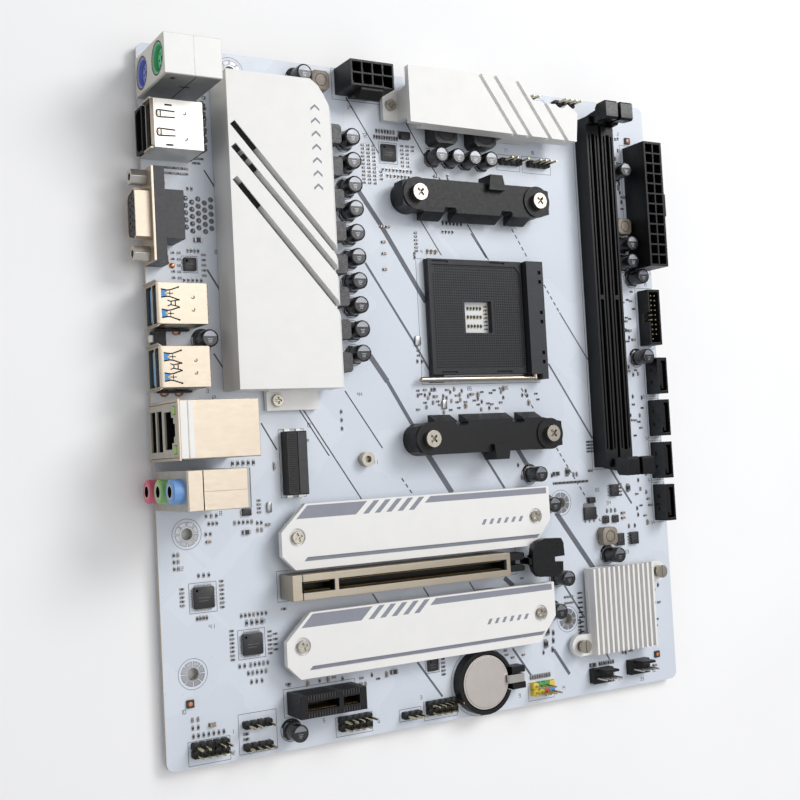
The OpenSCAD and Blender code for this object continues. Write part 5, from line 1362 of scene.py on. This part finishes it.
# ------------------------------------------------------------------ floor, light and camera
lo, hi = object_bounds()
fm = Nodes("floor_paint")
fm.link(fm.mix(fm.ramp(fm.noise(9.0, 3.0), 0.3, 0.7, 0.0, 1.0), lin((246, 246, 246)), lin((250, 250, 250))), fm.b.inputs["Base Color"])
fm.link(fm.bump(fm.noise(400.0, 2.0), 0.02, 0.0001), fm.b.inputs["Normal"])
fm.b.inputs["Roughness"].default_value = 0.8
fm.b.inputs["Specular IOR Level"].default_value = 0.2
me = bpy.data.meshes.new("floor")
zf = lo.z - 0.0002
me.from_pydata([(-4, -4, zf), (4, -4, zf), (4, 4, zf), (-4, 4, zf)], [], [(0, 1, 2, 3)])
me.materials.append(fm.mat)
floor = bpy.data.objects.new("floor", me)
scene.collection.objects.link(floor)

world = bpy.data.worlds.new("studio")
scene.world = world
world.use_nodes = True
wt = world.node_tree
wt.nodes.clear()
wo = wt.nodes.new("ShaderNodeOutputWorld")
bg = wt.nodes.new("ShaderNodeBackground")
wt.links.new(bg.outputs[0], wo.inputs[0])
tc = wt.nodes.new("ShaderNodeTexCoord")
sp = wt.nodes.new("ShaderNodeSeparateXYZ")
wt.links.new(tc.outputs["Generated"], sp.inputs[0])
cr = wt.nodes.new("ShaderNodeValToRGB")
wt.links.new(sp.outputs[2], cr.inputs[0])
cr.color_ramp.elements[0].position = 0.0
cr.color_ramp.elements[0].color = (0.30, 0.30, 0.31, 1)
cr.color_ramp.elements[1].position = 1.0
cr.color_ramp.elements[1].color = (0.78, 0.79, 0.82, 1)
e = cr.color_ramp.elements.new(0.35)
e.color = (0.46, 0.46, 0.47, 1)
wt.links.new(cr.outputs[0], bg.inputs[0])
bg.inputs[1].default_value = 0.62


def lamp(name, loc, target, size, power, colour=(1, 1, 1), size_y=None):
    d = bpy.data.lights.new(name, "AREA")
    d.energy = power
    d.color = colour
    d.shape = "RECTANGLE"
    d.size, d.size_y = size, size_y or size
    o = bpy.data.objects.new(name, d)
    o.location = loc
    o.rotation_mode = "QUATERNION"
    o.rotation_quaternion = (Vector(target) - Vector(loc)).to_track_quat("-Z", "Y")
    scene.collection.objects.link(o)
    return o


lamp("key", (0.62, 0.62, 0.85), (0, 0.05, 0), 0.5, 7.0)
lamp("top", (0.15, 0.1, 1.1), (0.02, 0.05, 0), 0.7, 3.0)
lamp("rear_fill", (-1.0, -0.1, 0.35), (0, 0.05, 0), 0.6, 0.75, size_y=0.4)
lamp("low_fill", (0.2, -0.9, 0.5), (0.02, 0.05, 0), 0.7, 0.9)

cam = bpy.data.cameras.new("camera")
cam.sensor_width = 36.0
cam.lens = 1177.4833 / 800 * 36.0
cam.clip_start, cam.clip_end = 0.01, 20
co = bpy.data.objects.new("camera", cam)
r, u, f = (0.8647200401, -0.0527671477, 0.4994746043), (0.0232286000, 0.9976032987, 0.0651773774), (0.5017167372, 0.0447580885, -0.8638732715)
co.matrix_world = Matrix(((r[0], u[0], -f[0], -0.2104221447), (r[1], u[1], -f[1], 0.0459669423), (r[2], u[2], -f[2], 0.3750403479), (0, 0, 0, 1)))
scene.collection.objects.link(co)
scene.camera = co
scene.view_settings.view_transform = "Standard"
scene.view_settings.look = "None"
scene.view_settings.exposure = 0.0
